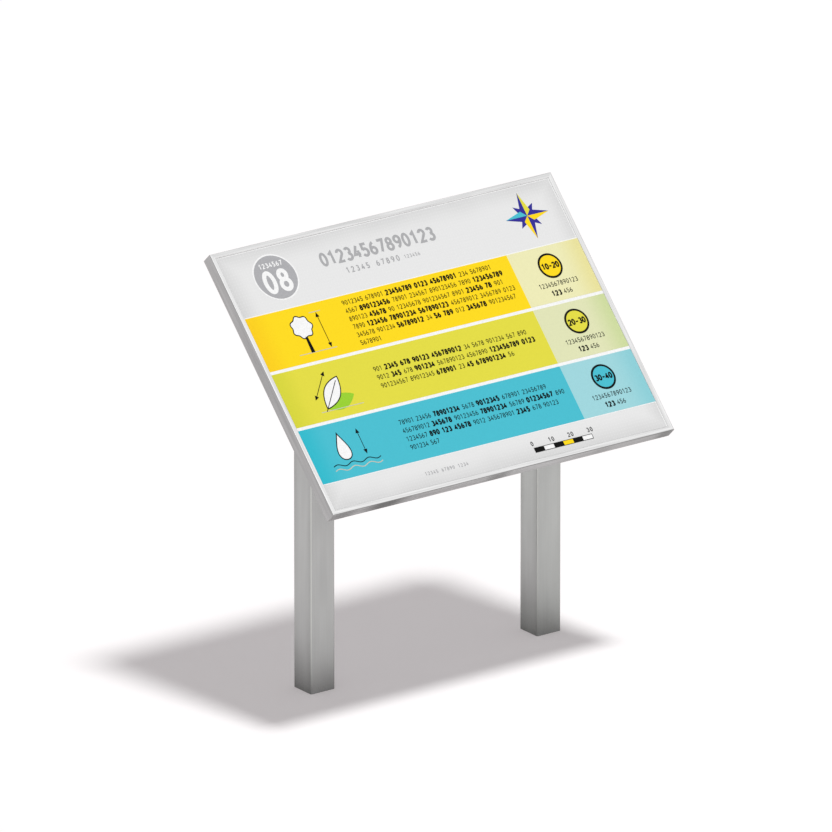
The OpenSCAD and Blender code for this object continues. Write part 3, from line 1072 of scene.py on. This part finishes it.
@dataclass(frozen=True)
class TextSize:
    """Size and weight of digits.

    Args:
        height: Height of a digit.
        pitch: Distance between digits.
        line: Width of their strokes.
        fine: Share of the full number of points on round strokes.
    """

    height: float
    pitch: float
    line: float
    fine: float = 1.0


LIGHT_TEXT = TextSize(height=11 * MM, pitch=7.5 * MM, line=1.35 * MM, fine=0.3)
HEAVY_TEXT = TextSize(height=11.3 * MM, pitch=8.3 * MM, line=3 * MM, fine=0.3)


class Ground(Enum):
    """What a print lies on, by the number of films under it."""

    PANEL = 0
    FILM = 1


class Print(Skin):
    """One colour of print on the face.

    The real ink is 0.02 mm thick. It is drawn thicker, and starts a little below its ground, so that it stays
    clear of what it lies on.
    """

    # Height of the ink above its ground, its depth below, and the step by which a line lies over another
    INK = 0.15 * MM
    SUNK = 0.05 * MM
    OVER = 0.1 * MM
    # Most that a line is widened round a corner
    WIDEST = 2.0
    # Space after a group of digits, in pitches, and the share of heavy groups
    GAP = 0.7
    HEAVY = 0.45
    # Width of an arrow's shaft, and the length and half width of its head
    ARROW = (1.5 * MM, 10.5 * MM, 4.65 * MM)
    # Where the shaft starts behind a tip, as a share of the head's length
    NECK = 0.8

    def __init__(self, ground: Ground) -> None:
        """Start with no marks, on a ground that can be changed between them."""
        super().__init__()
        self.ground = ground

    def levels(self, lift: float) -> Pair:
        """Return the levels of the lower and upper face of a mark that is raised by a distance."""
        base = BOARD.panel_w + self.ground.value * BOARD.film_t
        return base - self.SUNK, base + self.INK + lift

    def shape(self, outline: np.ndarray, lift: float = 0.0) -> None:
        """Print a filled shape, its outline carried from the lower level to the upper one.

        Args:
            outline: Corners u, v of the outline, in order.
            lift: Distance that its upper face is raised by.
        """
        faces = [np.column_stack([outline, np.full(len(outline), level)]) for level in self.levels(lift)]
        self.rings(np.stack(faces))

    def stroke(self, path: np.ndarray, width: float, lift: float = 0.0, closed: bool = False) -> None:
        """Print a line, a flat rectangular section swept along a path.

        The section stands square to the mean of the two segments that meet at a point, and is widened there
        by one over the cosine of half the turn, so that the line keeps its width round a corner.

        Args:
            path: Points u, v of the centre line.
            width: Width of the line.
            lift: Distance that its upper face is raised by.
            closed: Whether the path returns to its first point.
        """
        before = path - np.roll(path, 1, axis=0)
        after = np.roll(path, -1, axis=0) - path
        if not closed:
            before[0], after[-1] = after[0], before[-1]
        before = unit(before)
        mean = unit(before + unit(after))
        widening = 1 / np.maximum((mean * before).sum(axis=1, keepdims=True), 1 / self.WIDEST)
        across = np.column_stack([-mean[:, 1], mean[:, 0]]) * widening * width / 2
        low, high = self.levels(lift)
        corners = [(path + across, high), (path + across, low), (path - across, low), (path - across, high)]
        rings = [np.column_stack([side, np.full(len(path), level)]) for side, level in corners]
        self.rings(np.stack(rings, axis=1), closed=closed)

    def outlined(self, line: "Print", outline: np.ndarray, width: float) -> None:
        """Print a filled shape and the line round it.

        Args:
            line: Print that takes the line, a little higher.
            outline: The shape.
            width: Width of the line.
        """
        self.shape(outline)
        line.stroke(outline, width, self.OVER, closed=True)

    def number(self, text: str, centre: Pair, size: TextSize, lift: float = 0.0) -> None:
        """Print a plain number, with the second stroke of a digit over the first.

        Args:
            text: Digits of the number, and spaces.
            centre: Place u, v of its middle.
            size: Size and weight of the digits.
            lift: Distance that its upper face is raised by.
        """
        first = centre[0] - size.pitch * (len(text) - 1) / 2 - DIGIT_WIDTH * size.height / 2
        for place, digit in enumerate(text):
            corner = np.array([first + size.pitch * place, centre[1] - size.height / 2])
            for rank, (path, closed) in enumerate(digit_strokes(digit, size.fine)):
                self.stroke(corner + path * size.height, size.line, lift + rank * self.OVER, closed)

    def counting(self, span: Pair, level: float, rng: np.random.Generator) -> None:
        """Fill a line with groups of light and heavy digits that count on from 1 to 9 and 0.

        Args:
            span: Values of u where the line starts and that it doesn't pass.
            level: Value of v half way up the digits.
            rng: Source of the groups' lengths and weights.
        """
        start, end = span
        size, digit = LIGHT_TEXT, int(rng.integers(1, 10))
        while end - start > 2 * size.pitch:
            count = min(int(rng.integers(2, 10)), int((end - start) / size.pitch))
            text = "".join(str((digit + step) % 10) for step in range(count))
            middle = start + size.pitch * (count - 1) / 2 + DIGIT_WIDTH * size.height / 2
            self.number(text, (middle, level), size)
            digit = (digit + count) % 10
            start += (count + self.GAP) * size.pitch
            size = HEAVY_TEXT if rng.random() < self.HEAVY else LIGHT_TEXT

    def double_arrow(self, start: Pair, end: Pair) -> None:
        """Print an arrow with a head at each end.

        Args:
            start: Tip of one head.
            end: Tip of the other.
        """
        first, last = np.array(start), np.array(end)
        along = (last - first) / np.linalg.norm(last - first)
        across = np.array([-along[1], along[0]])
        line, length, half = self.ARROW
        inset = along * length * self.NECK
        self.stroke(np.array([first + inset, last - inset]), line)
        for tip, way in ((first, along), (last, -along)):
            foot = tip + way * length
            self.shape(np.array([tip, foot + across * half, foot - across * half]))


# Sub-assemblies


# Angle past which an edge of a smooth piece stays sharp
SHARP = math.radians(35)


def finish_node(name: str, finish: Finish) -> None:
    """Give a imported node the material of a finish.

    Args:
        name: Name of the node.
        finish: Finish that it gets.
    """
    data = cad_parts[name].data
    data.materials.clear()
    data.materials.append(finish.material())
    LOG.info("dressed %s in %s", name, finish.name)


def add_piece(name: str, skin: Skin, finish: Finish, node: str | None = None) -> None:
    """Make one visible piece of a skin and hang it on the frame.

    Args:
        name: Name of the piece.
        skin: Its surface.
        finish: Its finish.
        node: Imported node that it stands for, if any. Such a piece is shaded smooth between sharp edges.
    """
    piece = bpy.data.objects.new(name, skin.mesh(name))
    bpy.context.scene.collection.objects.link(piece)
    piece.data.materials.append(finish.material())
    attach(piece, BODY)
    if node:
        piece.data.shade_smooth()
        piece.data.set_sharp_from_angle(angle=SHARP)
        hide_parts(node)
    LOG.info("built %s with %d faces", name, len(piece.data.polygons))


@dataclass
class Posts:
    """The two upright tubes with the plates and weld beads at their ends.

    Args:
        width: Outer width of the tube.
        corner: Outer corner radius of the tube.
        plate_t: Thickness of the head plate.
        leg: Leg of the fillet weld.
        ripple: Distance between the ripples of a weld.
        swell: How far a ripple takes the legs up and down, as a share of them.
        bulge: How far the weld's face stands out, as a share of the legs.
        root: Depth of the weld's hidden root, as a share of the legs.
        points: Number of points round a corner, between two corners, and across the weld's face.
    """

    width: float = 60 * MM
    corner: float = 4.5 * MM
    plate_t: float = 5 * MM
    leg: float = 3.4 * MM
    ripple: float = 3.2 * MM
    swell: float = 0.06
    bulge: float = 0.22
    root: float = 0.3
    points: tuple[int, int, int] = (6, 34, 6)

    def build(self) -> None:
        """Dress the tubes and plates and lay the weld beads."""
        for side, tube in (("left", POST_STEEL), ("right", LIGHTENED_POST_STEEL)):
            finish_node(f"post_{side}", tube)
            finish_node(f"foot_plate_{side}", PLATE_STEEL)
            finish_node(f"head_plate_{side}", PLATE_STEEL)
            skin = Skin()
            skin.rings(self.bead(BOARD.middle(f"head_plate_{side}")), closed=True)
            add_piece(f"weld_bead_{side}", skin, WELD, f"head_weld_{side}")

    def outline(self) -> np.ndarray:
        """Return points x, y round the tube: straight sides between round corners.

        Returns:
            The points, anticlockwise.
        """
        straight = self.width / 2 - self.corner
        share = np.linspace(0, 1, self.points[1] + 2)[1:-1, None]
        parts = []
        for quarter in range(4):
            start = math.pi / 2 * quarter
            diagonal, end = start + math.pi / 4, start + math.pi / 2
            angle = np.linspace(start, end, self.points[0])
            centre = np.sign([math.cos(diagonal), math.sin(diagonal)]) * straight
            bend = centre + self.corner * np.column_stack([np.cos(angle), np.sin(angle)])
            way = np.array([-math.sin(end), math.cos(end)])
            parts += [bend, bend[-1] + way * 2 * straight * share]
        return np.vstack(parts)

    def bead(self, plate: Triple) -> np.ndarray:
        """Return the rings of one weld bead, in board coordinates.

        The path is the tube's outline where it meets the plate, stretched up the slope by one over its
        cosine. The section fans from the plate, a leg out from the tube, round to the tube, a leg down its
        wall, and bulges by a sine. Both legs swell by a ripple along the path.

        Args:
            plate: Board coordinates of the head plate's middle.

        Returns:
            Points, by place along the path, place round the section and coordinate.
        """
        straight = self.width / 2 - self.corner
        outline = self.outline()
        outward = unit(outline - np.clip(outline, -straight, straight))
        outline[:, 1] /= BOARD.run
        step = np.linalg.norm(np.roll(outline, -1, axis=0) - outline, axis=1)
        travel = np.concatenate([[0], np.cumsum(step)[:-1]]) / step.sum()
        ripples = round(step.sum() / self.ripple)
        leg = self.leg * (1 + self.swell * np.sin(2 * math.pi * ripples * travel))[:, None]
        flat = np.zeros(len(outline))
        foot = np.column_stack([outline, flat]) + plate - [0, 0, self.plate_t / 2]
        reach = np.column_stack([outward, flat]) * leg
        drop = np.array([0, -BOARD.rise, -BOARD.run]) / BOARD.run * leg
        fan = np.linspace(0, 1, self.points[2])[None, :, None]
        arm = reach[:, None] * (1 - fan) + drop[:, None] * fan
        face = foot[:, None] + arm * (1 + self.bulge * np.sin(math.pi * fan))
        return np.concatenate([face, foot[:, None] - reach[:, None] * self.root], axis=1)


@dataclass
class BoltedHeads:
    """The bolts, washers, tapped bars and rails that hold the board on the posts' head plates.

    Args:
        seat: Distance from the middle of a head plate back to the bolt heads' seat on the washers.
        spacing: Distances between bolts across and up the slope.
        flats: Width across the flats of a bolt head.
        head_height: Height of a bolt head.
        face: Radius of its round end face, as a share of half the flats.
        cone: Slope of the cone that its corners are cut by, in radians.
        shank: Radius and length of the shank.
        bevel: Bevel of the shank's end.
    """

    seat: float = 4.1 * MM
    spacing: Pair = (36 * MM, 138 * MM)
    flats: float = 13 * MM
    head_height: float = 5.3 * MM
    face: float = 0.96
    cone: float = math.radians(30)
    shank: Pair = (4 * MM, 20 * MM)
    bevel: float = 0.8 * MM

    def build(self) -> None:
        """Dress the hidden steel and make the bolts."""
        finish_node("head_washers", ZINC)
        skin = Skin()
        for side in ("left", "right"):
            finish_node(f"nut_plate_{side}", ZINC)
            finish_node(f"rail_{side}", RAIL_STEEL)
            middle = np.array(BOARD.middle(f"head_plate_{side}"))
            for across, up in box_outline(-0.5, 0.5, -0.5, 0.5):
                offset = [across * self.spacing[0], up * self.spacing[1], -self.seat]
                skin.rings(self.bolt() + middle + offset)
        add_piece("hexagon_bolts", skin, ZINC, "head_bolts")

    def bolt(self) -> np.ndarray:
        """Return the rings of one bolt about its bearing face.

        The head is a hexagon whose end is cut by a cone, so it falls away past the circle that fits in it.
        The shank is a circle with a bevelled end.

        Returns:
            Points, by place along the bolt, place round it and coordinate.
        """
        angle = round_angles(36)
        outline = hexagon(angle, self.flats / 2)
        inner = self.flats / 2 * self.face
        fall = (outline - inner) * math.tan(self.cone)
        radius, length = self.shank
        return revolve(angle, [
            (inner * NARROW, -self.head_height),
            (inner, -self.head_height),
            (outline, fall - self.head_height),
            (outline, 0),
            (radius, 0),
            (radius, length - self.bevel),
            (radius - self.bevel, length),
        ])


@dataclass
class FoldedFrame:
    """The four folded and mitred channels round the board, and the foam strips inside them.

    Args:
        sides: Names of the four sides.
    """

    sides: tuple[str, ...] = ("top", "bottom", "left", "right")

    def build(self) -> None:
        """Dress the channels, each with its grain along its length, and the foam."""
        for side in self.sides:
            finish_node(f"frame_{side}", replace(CHANNEL, name=f"{CHANNEL.name}, {side}", **CHANNELS[side]))
            finish_node(f"foam_{side}", FOAM)


@dataclass
class BackCover:
    """The sheet that closes the back, and its screws.

    Args:
        thickness: Thickness of the cover.
        edge: Distance of the screws from the board's edge.
        across: Number of screws in the top and bottom rows, and the distance between the end ones.
        up: Number of screws up each side, and the distance between the end ones.
        head: Radius and height of a screw's domed head.
        crown: Radius of the dome's upper end, and the level of the socket's rim as a share of the height.
        socket: Half the width across the flats of the hexagon socket, and its depth.
        shank: Radius and length of the shank.
    """

    thickness: float = 1.5 * MM
    edge: float = 12 * MM
    across: tuple[int, float] = (6, 780 * MM)
    up: tuple[int, float] = (3, 300 * MM)
    head: Pair = (3.8 * MM, 2.2 * MM)
    crown: Pair = (1.7 * MM, 0.94)
    socket: Pair = (1.25 * MM, 1.3 * MM)
    shank: Pair = (2 * MM, 8 * MM)

    def build(self) -> None:
        """Dress the cover and make the screws."""
        finish_node("rear_cover", COVER_ALUMINIUM)
        skin = Skin()
        back_w = BOARD.middle("rear_cover")[2] - self.thickness / 2
        for place in self.places():
            skin.rings(self.screw() + [*place, back_w])
        add_piece("socket_screws", skin, ZINC, "cover_screws")

    def places(self) -> np.ndarray:
        """Return the places u, v of the screws, in two rows and two columns.

        Returns:
            The places, one to a row.
        """
        u, v = (np.linspace(-0.5, 0.5, count) * span for count, span in (self.across, self.up))
        half_width, half_height = BOARD.width / 2 - self.edge, BOARD.height / 2 - self.edge
        rows = [np.column_stack([u, np.full_like(u, end)]) for end in (-half_height, half_height)]
        columns = [np.column_stack([np.full_like(v, end), v]) for end in (-half_width, half_width)]
        return np.vstack(rows + columns) + [0, BOARD.height / 2]

    def screw(self) -> np.ndarray:
        """Return the rings of one domed screw about the cover's face.

        The dome's level is its height times the sine of an angle whose cosine gives the radius. It ends at a
        hexagon, where the socket goes straight in to a flat floor.

        Returns:
            Points, by place along the surface, place round it and coordinate.
        """
        angle = round_angles(24)
        outline = hexagon(angle, self.socket[0])
        radius, height = self.head
        rim, floor = math.acos(self.crown[0] / radius), self.socket[1] - height
        rows = [(outline * NARROW, floor), (outline, floor), (outline, -height * self.crown[1])]
        rows += [(radius * math.cos(turn), -height * math.sin(turn)) for turn in np.linspace(rim, 0, 6)]
        rows += [(self.shank[0], level) for level in (0, self.shank[1])]
        return revolve(angle, rows)


@dataclass
class PrintedFace:
    """The panel, its seal, the coloured bands and everything printed on them.

    Args:
        rule: Width of the thin white rules above and below the bands.
        halo: Width of the white line round the header's round mark.
        disc_radius: Radius of that mark.
        badge_ring: Distance of a badge's inner ring from the disc's edge, and its width.
        text_left: Left edge of the text blocks.
        outline: Width of the lines round the drawings.
        guide: Width of the pale lines that show a drawing's ground and height.
        seed: Seed of the digit groups' lengths.
    """

    rule: float = 2 * MM
    halo: float = 3.3 * MM
    disc_radius: float = 48.5 * MM
    badge_ring: Pair = (0.4 * MM, 1.4 * MM)
    text_left: float = -182 * MM
    outline: float = 2.2 * MM
    guide: float = 1.6 * MM
    seed: int = 7

    def build(self) -> None:
        """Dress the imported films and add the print."""
        films = {
            "print_panel": PANEL,
            "face_gasket": SEAL,
            "band_lower": CYAN,
            "band_middle": LIME,
            "band_upper": YELLOW,
            "band_tints": PALE,
            "header_disc": GREY,
            "badge_discs": BADGES,
            "badge_rings": BLACK_INK,
        }
        for name, finish in films.items():
            finish_node(name, finish)
        self.separators()
        self.header()
        self.badges()
        self.text_blocks()
        self.tree_mark()
        self.leaf_mark()
        self.drop_mark()
        self.compass()
        self.scale_bar()

    def separators(self) -> None:
        """Lay white rules between the bands, and thin ones above and below them."""
        bands = [BOARD.film(f"band_{name}") for name in ("lower", "middle", "upper")]
        left, right = bands[0][0], BOARD.film("band_tints")[1]
        steps = [edge for band in bands for edge in band[2:]]
        edges = [steps[0] - self.rule, *steps, steps[-1] + self.rule]
        white = Print(Ground.PANEL)
        for low, high in zip(edges[::2], edges[1::2]):
            white.shape(box_outline(left, right, low, high))
        add_piece("white_rules", white, WHITE_INK)

    def header(self) -> None:
        """Print the round mark's number and halo, a heading of plain digits and a line in the footer."""
        u, v, _ = BOARD.middle("header_disc")
        radius = self.disc_radius + self.halo / 2
        white = Print(Ground.PANEL)
        white.stroke(loop((u, v), (radius, radius), count=96), self.halo, closed=True)
        white.ground = Ground.FILM
        white.number("08", (u - 1 * MM, v - 9 * MM), TextSize(50 * MM, 35 * MM, 9.5 * MM))
        white.number("1234567", (u, v + 28 * MM), TextSize(11 * MM, 8.4 * MM, 2 * MM, 0.4))
        add_piece("header_number", white, WHITE_INK)
        grey = Print(Ground.PANEL)
        tiny = TextSize(8 * MM, 6.8 * MM, 1.3 * MM, 0.3)
        grey.number("01234567890123", (-43 * MM, 533 * MM), TextSize(30 * MM, 20.4 * MM, 5.8 * MM))
        grey.number("12345 67890", (-71 * MM, 499 * MM), TextSize(13 * MM, 12.4 * MM, 2.3 * MM, 0.4))
        grey.number("123456", (26 * MM, 498 * MM), tiny)
        grey.number("12345 67890 1234", (-124 * MM, 38 * MM), tiny)
        add_piece("heading", grey, GREY_INK)

    def badges(self) -> None:
        """Print a number and an inner ring in each badge, and two captions of digits under it."""
        left, right, low, high = BOARD.film("badge_discs")
        u, radius = (left + right) / 2, (right - left) / 2
        inset, width = self.badge_ring
        ring = radius - inset
        black = Print(Ground.FILM)
        for row, text in enumerate(("30-40", "20-30", "10-20")):
            v = low + radius + (high - low - 2 * radius) * row / 2
            black.number(text, (u, v), TextSize(13 * MM, 8.5 * MM, 3.1 * MM, 0.5), BOARD.film_t)
            black.stroke(loop((u, v), (ring, ring), count=64), width, BOARD.film_t, closed=True)
            black.number("1234567890123", (u, v - 40 * MM), LIGHT_TEXT)
            black.number("123", (u - 14 * MM, v - 60 * MM), HEAVY_TEXT)
            black.number("456", (u + 14 * MM, v - 60 * MM), LIGHT_TEXT)
        add_piece("badge_print", black, BLACK_INK)

    def text_blocks(self) -> None:
        """Print the three blocks of body text, with the last line of the first and third ones short."""
        rng = np.random.default_rng(self.seed)
        blocks = {
            "text_upper": (433 * MM, 18.3 * MM, (190, 216, 205, 224, 224, -110)),
            "text_middle": (280 * MM, 19 * MM, (202, 214, 165)),
            "text_lower": (157 * MM, 19 * MM, (190, 228, 210, -107)),
        }
        for name, (first, pitch, ends) in blocks.items():
            black = Print(Ground.FILM)
            for line, end in enumerate(ends):
                black.counting((self.text_left, end * MM), first - line * pitch, rng)
            add_piece(name, black, BLACK_INK)

    def add_drawing(self, fill: Print, line: Print, guide: Print, names: tuple[str, str, str]) -> None:
        """Make the three pieces of a drawing: its white fill, black lines and pale guide lines."""
        for name, skin, ink in zip(names, (fill, line, guide), (WHITE_INK, BLACK_INK, GUIDE_INK)):
            add_piece(name, skin, ink)

    def tree_mark(self) -> None:
        """Print a round tree with its height, in the upper band."""
        fill, line, guide = (Print(Ground.FILM) for _ in range(3))
        base = np.array([-296, 346]) * MM
        angle = round_angles(84)
        size = 24 + 2 * np.cos(7 * angle)
        crown = np.column_stack([size * np.cos(angle), 58 + size * np.sin(angle)]) * MM
        line.shape(np.array([[-4.4, 0], [4.4, 0], [2.8, 36], [-2.8, 36]]) * MM + base)
        fill.outlined(line, crown + base, self.outline)
        for start, level in ((-34, 0), (30, 84)):
            guide.stroke(np.array([[start, level], [58, level]]) * MM + base, self.guide)
        line.double_arrow(*(np.array([[46, 2], [46, 82]]) * MM + base))
        self.add_drawing(fill, line, guide, ("tree_fill", "tree_line", "tree_guide"))

    def leaf_mark(self) -> None:
        """Print a leaf over a green one with its length, in the middle band."""
        fill, line, guide, green = (Print(Ground.FILM) for _ in range(4))
        share = np.linspace(0, 1, 30)
        half = 18 * np.sin(math.pi * share) ** 0.85
        upper, lower = (np.column_stack([82 * share, side * half]) for side in (1, -1))
        blade = np.vstack([upper, lower[-2:0:-1]]) * MM
        base = np.array([-324, 222]) * MM
        fill.outlined(line, base + turned(blade, 50), self.outline)
        green.shape(base + turned(blade * 0.92, 14), -fill.SUNK)
        line.stroke(base + turned(np.array([[-7, 0], [72, 0]]) * MM, 50), 1.7 * MM, line.OVER)
        line.double_arrow(*(turned(np.array([[6, 29], [80, 29]]) * MM, 50) + base))
        guide.stroke(np.array([[-342, 217], [-238, 217]]) * MM, self.guide)
        self.add_drawing(fill, line, guide, ("leaf_fill", "leaf_line", "leaf_guide"))
        add_piece("leaf_shade", green, GREEN_INK)

    def drop_mark(self) -> None:
        """Print a drop over waves, in the lower band."""
        fill, line, guide = (Print(Ground.FILM) for _ in range(3))
        angle = round_angles(60)
        width = 22 * np.sin(angle) * np.sin(angle / 2) ** 1.6
        drop = np.column_stack([width, 30 * np.cos(angle)]) * MM
        fill.outlined(line, drop + np.array([-332, 138]) * MM, self.outline)
        left, right = -372, -256
        u = np.linspace(left, right, 60)
        for level, skin in ((99, line), (89, guide)):
            wave = level + 3 * np.sin((u - left) / (right - left) * 6 * math.pi)
            skin.stroke(np.column_stack([u, wave]) * MM, 1.9 * MM)
        line.double_arrow((-284 * MM, 110 * MM), (-284 * MM, 168 * MM))
        self.add_drawing(fill, line, guide, ("drop_fill", "drop_line", "wave_guide"))

    def compass(self) -> None:
        """Print a plain compass rose at the right of the header: eight points, each of two triangles.

        The short points come first and the long ones lie over them. A point is widest on the diagonal, where
        both coordinates are 0.707 of the distance from the middle.
        """
        centre = np.array([326, 521]) * MM
        blue, *tones = (Print(Ground.PANEL) for _ in range(4))
        for reach, waist, first in ((35, 13, 45), (53, 17, 0)):
            side = waist * 0.707
            for quarter in range(4):
                for half in (-1, 1):
                    point = turned(np.array([[0, 0], [reach, 0], [side, half * side]]), first + 90 * quarter)
                    skin = blue if half > 0 or first else tones[quarter % 3]
                    skin.shape(centre + point * MM, 0.0 if first else blue.OVER)
        add_piece("compass_dark", blue, BLUE_INK)
        for skin, name, film in zip(tones, ("yellow", "lime", "cyan"), (YELLOW, LIME, CYAN)):
            add_piece(f"compass_{name}", skin, film)

    def scale_bar(self) -> None:
        """Print a plain scale bar at the right of the footer."""
        black, white, yellow = (Print(Ground.PANEL) for _ in range(3))
        left, low, cell, height = 92 * MM, 25 * MM, 24 * MM, 10 * MM
        cells = (black, white, black, yellow, black, white)
        for place, skin in enumerate(cells):
            start = left + cell * place
            skin.shape(box_outline(start, start + cell, low, low + height))
        outline = box_outline(left, left + len(cells) * cell, low, low + height)
        black.stroke(outline, 1.2 * MM, black.OVER, closed=True)
        size = TextSize(10 * MM, 8 * MM, 1.7 * MM, 0.4)
        for text, place in (("0", 0), ("10", 2), ("20", 4), ("30", 6)):
            black.number(text, (left + cell * place, low + 2 * height), size)
        add_piece("scale_dark", black, BLACK_INK)
        add_piece("scale_light", white, WHITE_INK)
        add_piece("scale_yellow", yellow, YELLOW)


# Studio


@dataclass
class PhotoCamera:
    """A long lens far away, at the photograph's viewing angle.

    Args:
        azimuth: Turn of the view from along +Y, in degrees.
        elevation: Height of the camera above the horizon, in degrees.
        distance: Distance from the camera to the target, in metres.
        per_metre: Pixels to the metre at the target.
        target: The point that the camera's place is worked out from.
        offset: Pixels of the target to the right of and above the picture's middle.
        sensor: Width of the sensor in millimetres.
        frame_width: Width of the picture in pixels.
        clip_end: Distance past which nothing is seen, in metres.
    """

    azimuth: float = -36.4646
    elevation: float = 19.7409
    distance: float = 45.0
    per_metre: float = 498.063
    target: Triple = (0.0, 0.0, 0.46)
    offset: Pair = (11.768, -27.497)
    sensor: float = 36.0
    frame_width: int = 832
    clip_end: float = 300.0

    def build(self) -> None:
        """Make the camera and set it as the scene's."""
        turn, lift = math.radians(self.azimuth), math.radians(self.elevation)
        back = Vector((math.sin(turn) * math.cos(lift), -math.cos(turn) * math.cos(lift), math.sin(lift)))
        right = Vector((math.cos(turn), math.sin(turn), 0))
        up = back.cross(right)
        data = bpy.data.cameras.new("photo_camera")
        data.sensor_width = self.sensor
        data.lens = self.per_metre * self.distance * self.sensor / self.frame_width
        data.clip_end = self.clip_end
        camera = bpy.data.objects.new("photo_camera", data)
        aside, above = (pixels / self.per_metre for pixels in self.offset)
        camera.location = Vector(self.target) + back * self.distance - right * aside - up * above
        camera.rotation_euler = Matrix((right, up, back)).transposed().to_euler()
        bpy.context.scene.collection.objects.link(camera)
        bpy.context.scene.camera = camera
        bpy.context.scene.view_settings.view_transform = "Standard"


@dataclass
class Studio:
    """Soft daylight from above, a plain pale floor and a white surround.

    Args:
        sky: Strength of the even light from all round.
        sun: Strength of the main light.
        spread: Angle that the main light fills, in radians.
        towards: Direction to the main light.
        floor_radius: Radius of the floor.
        floor_rings: Number of rings of the floor's mesh.
        floor_shade: Colour of the floor.
        floor_glow: Light that the floor adds for the camera, for reflections and through glass.
    """

    sky: float = 0.345
    sun: float = 2.25
    spread: float = 0.15
    towards: Triple = (0.1405, -0.2329, 0.9624)
    floor_radius: float = 14.0
    floor_rings: int = 12
    floor_shade: str = "#E6E5E5"
    floor_glow: Triple = (0.217, 0.195, 0.2)

    def build(self) -> None:
        """Make the world, the main light and the floor."""
        self.world()
        lamp = bpy.data.lights.new("main_light", "SUN")
        lamp.energy = self.sun
        lamp.angle = self.spread
        light = bpy.data.objects.new("main_light", lamp)
        light.rotation_euler = Vector(self.towards).to_track_quat("Z", "Y").to_euler()
        bpy.context.scene.collection.objects.link(light)
        self.floor()

    @staticmethod
    def seen(nodes: Nodes) -> Socket:
        """Return 1 for rays from the camera, mirrored rays and rays through glass, and 0 otherwise.

        Args:
            nodes: Node tree of the material or world.

        Returns:
            That number.
        """
        path = nodes.add("LightPath")
        total = nodes.add("Math", path["Is Camera Ray"], path["Is Glossy Ray"], operation="ADD")[0]
        return nodes.add("Math", total, path["Is Transmission Ray"], operation="ADD", use_clamp=True)[0]

    def world(self) -> None:
        """Make a world that is white to look at and lights the object evenly."""
        world = bpy.data.worlds.new("surround")
        bpy.context.scene.world = world
        nodes = Nodes(world)
        strength = nodes.add("MapRange", {0: self.seen(nodes), 3: self.sky, 4: 1.0})[0]
        shader = nodes.add("Background", {"Color": (1, 1, 1, 1), "Strength": strength})
        nodes.add("OutputWorld", {"Surface": shader[0]})

    def floor(self) -> None:
        """Make a round floor as a polar grid, radius times the cosine and sine of the angle."""
        sizes = np.linspace(0, self.floor_radius, self.floor_rings + 1)[1:]
        grid = revolve(round_angles(96), [(size, 0) for size in sizes])
        index = np.arange(grid.size // 3).reshape(grid.shape[:2])
        after = np.roll(index, -1, axis=1)
        quads = np.stack([index[:-1], index[1:], after[1:], after[:-1]], axis=-1).reshape(-1, 4)
        mesh = bpy.data.meshes.new("floor")
        mesh.from_pydata(grid.reshape(-1, 3).tolist(), [], [index[0].tolist(), *quads.tolist()])
        floor = bpy.data.objects.new("floor", mesh)
        bpy.context.scene.collection.objects.link(floor)
        material = bpy.data.materials.new("Pale studio floor")
        nodes = Nodes(material)
        matt = nodes.add("BsdfDiffuse", {"Color": linear(self.floor_shade)})
        glow = nodes.add("Emission", {"Color": (*self.floor_glow, 1), "Strength": self.seen(nodes)})
        both = nodes.add("AddShader", matt[0], glow[0])
        nodes.add("OutputMaterial", {"Surface": both[0]})
        mesh.materials.append(material)


def main() -> None:
    """Build the camera, the studio and the board's sub-assemblies in order."""
    logging.basicConfig(level=logging.INFO, format="%(message)s")
    LOG.info("board %.1f by %.1f mm", BOARD.width / MM, BOARD.height / MM)
    for part in (PhotoCamera, Studio, Posts, BoltedHeads, FoldedFrame, BackCover, PrintedFace):
        part().build()


if __name__ == "__main__":
    main()
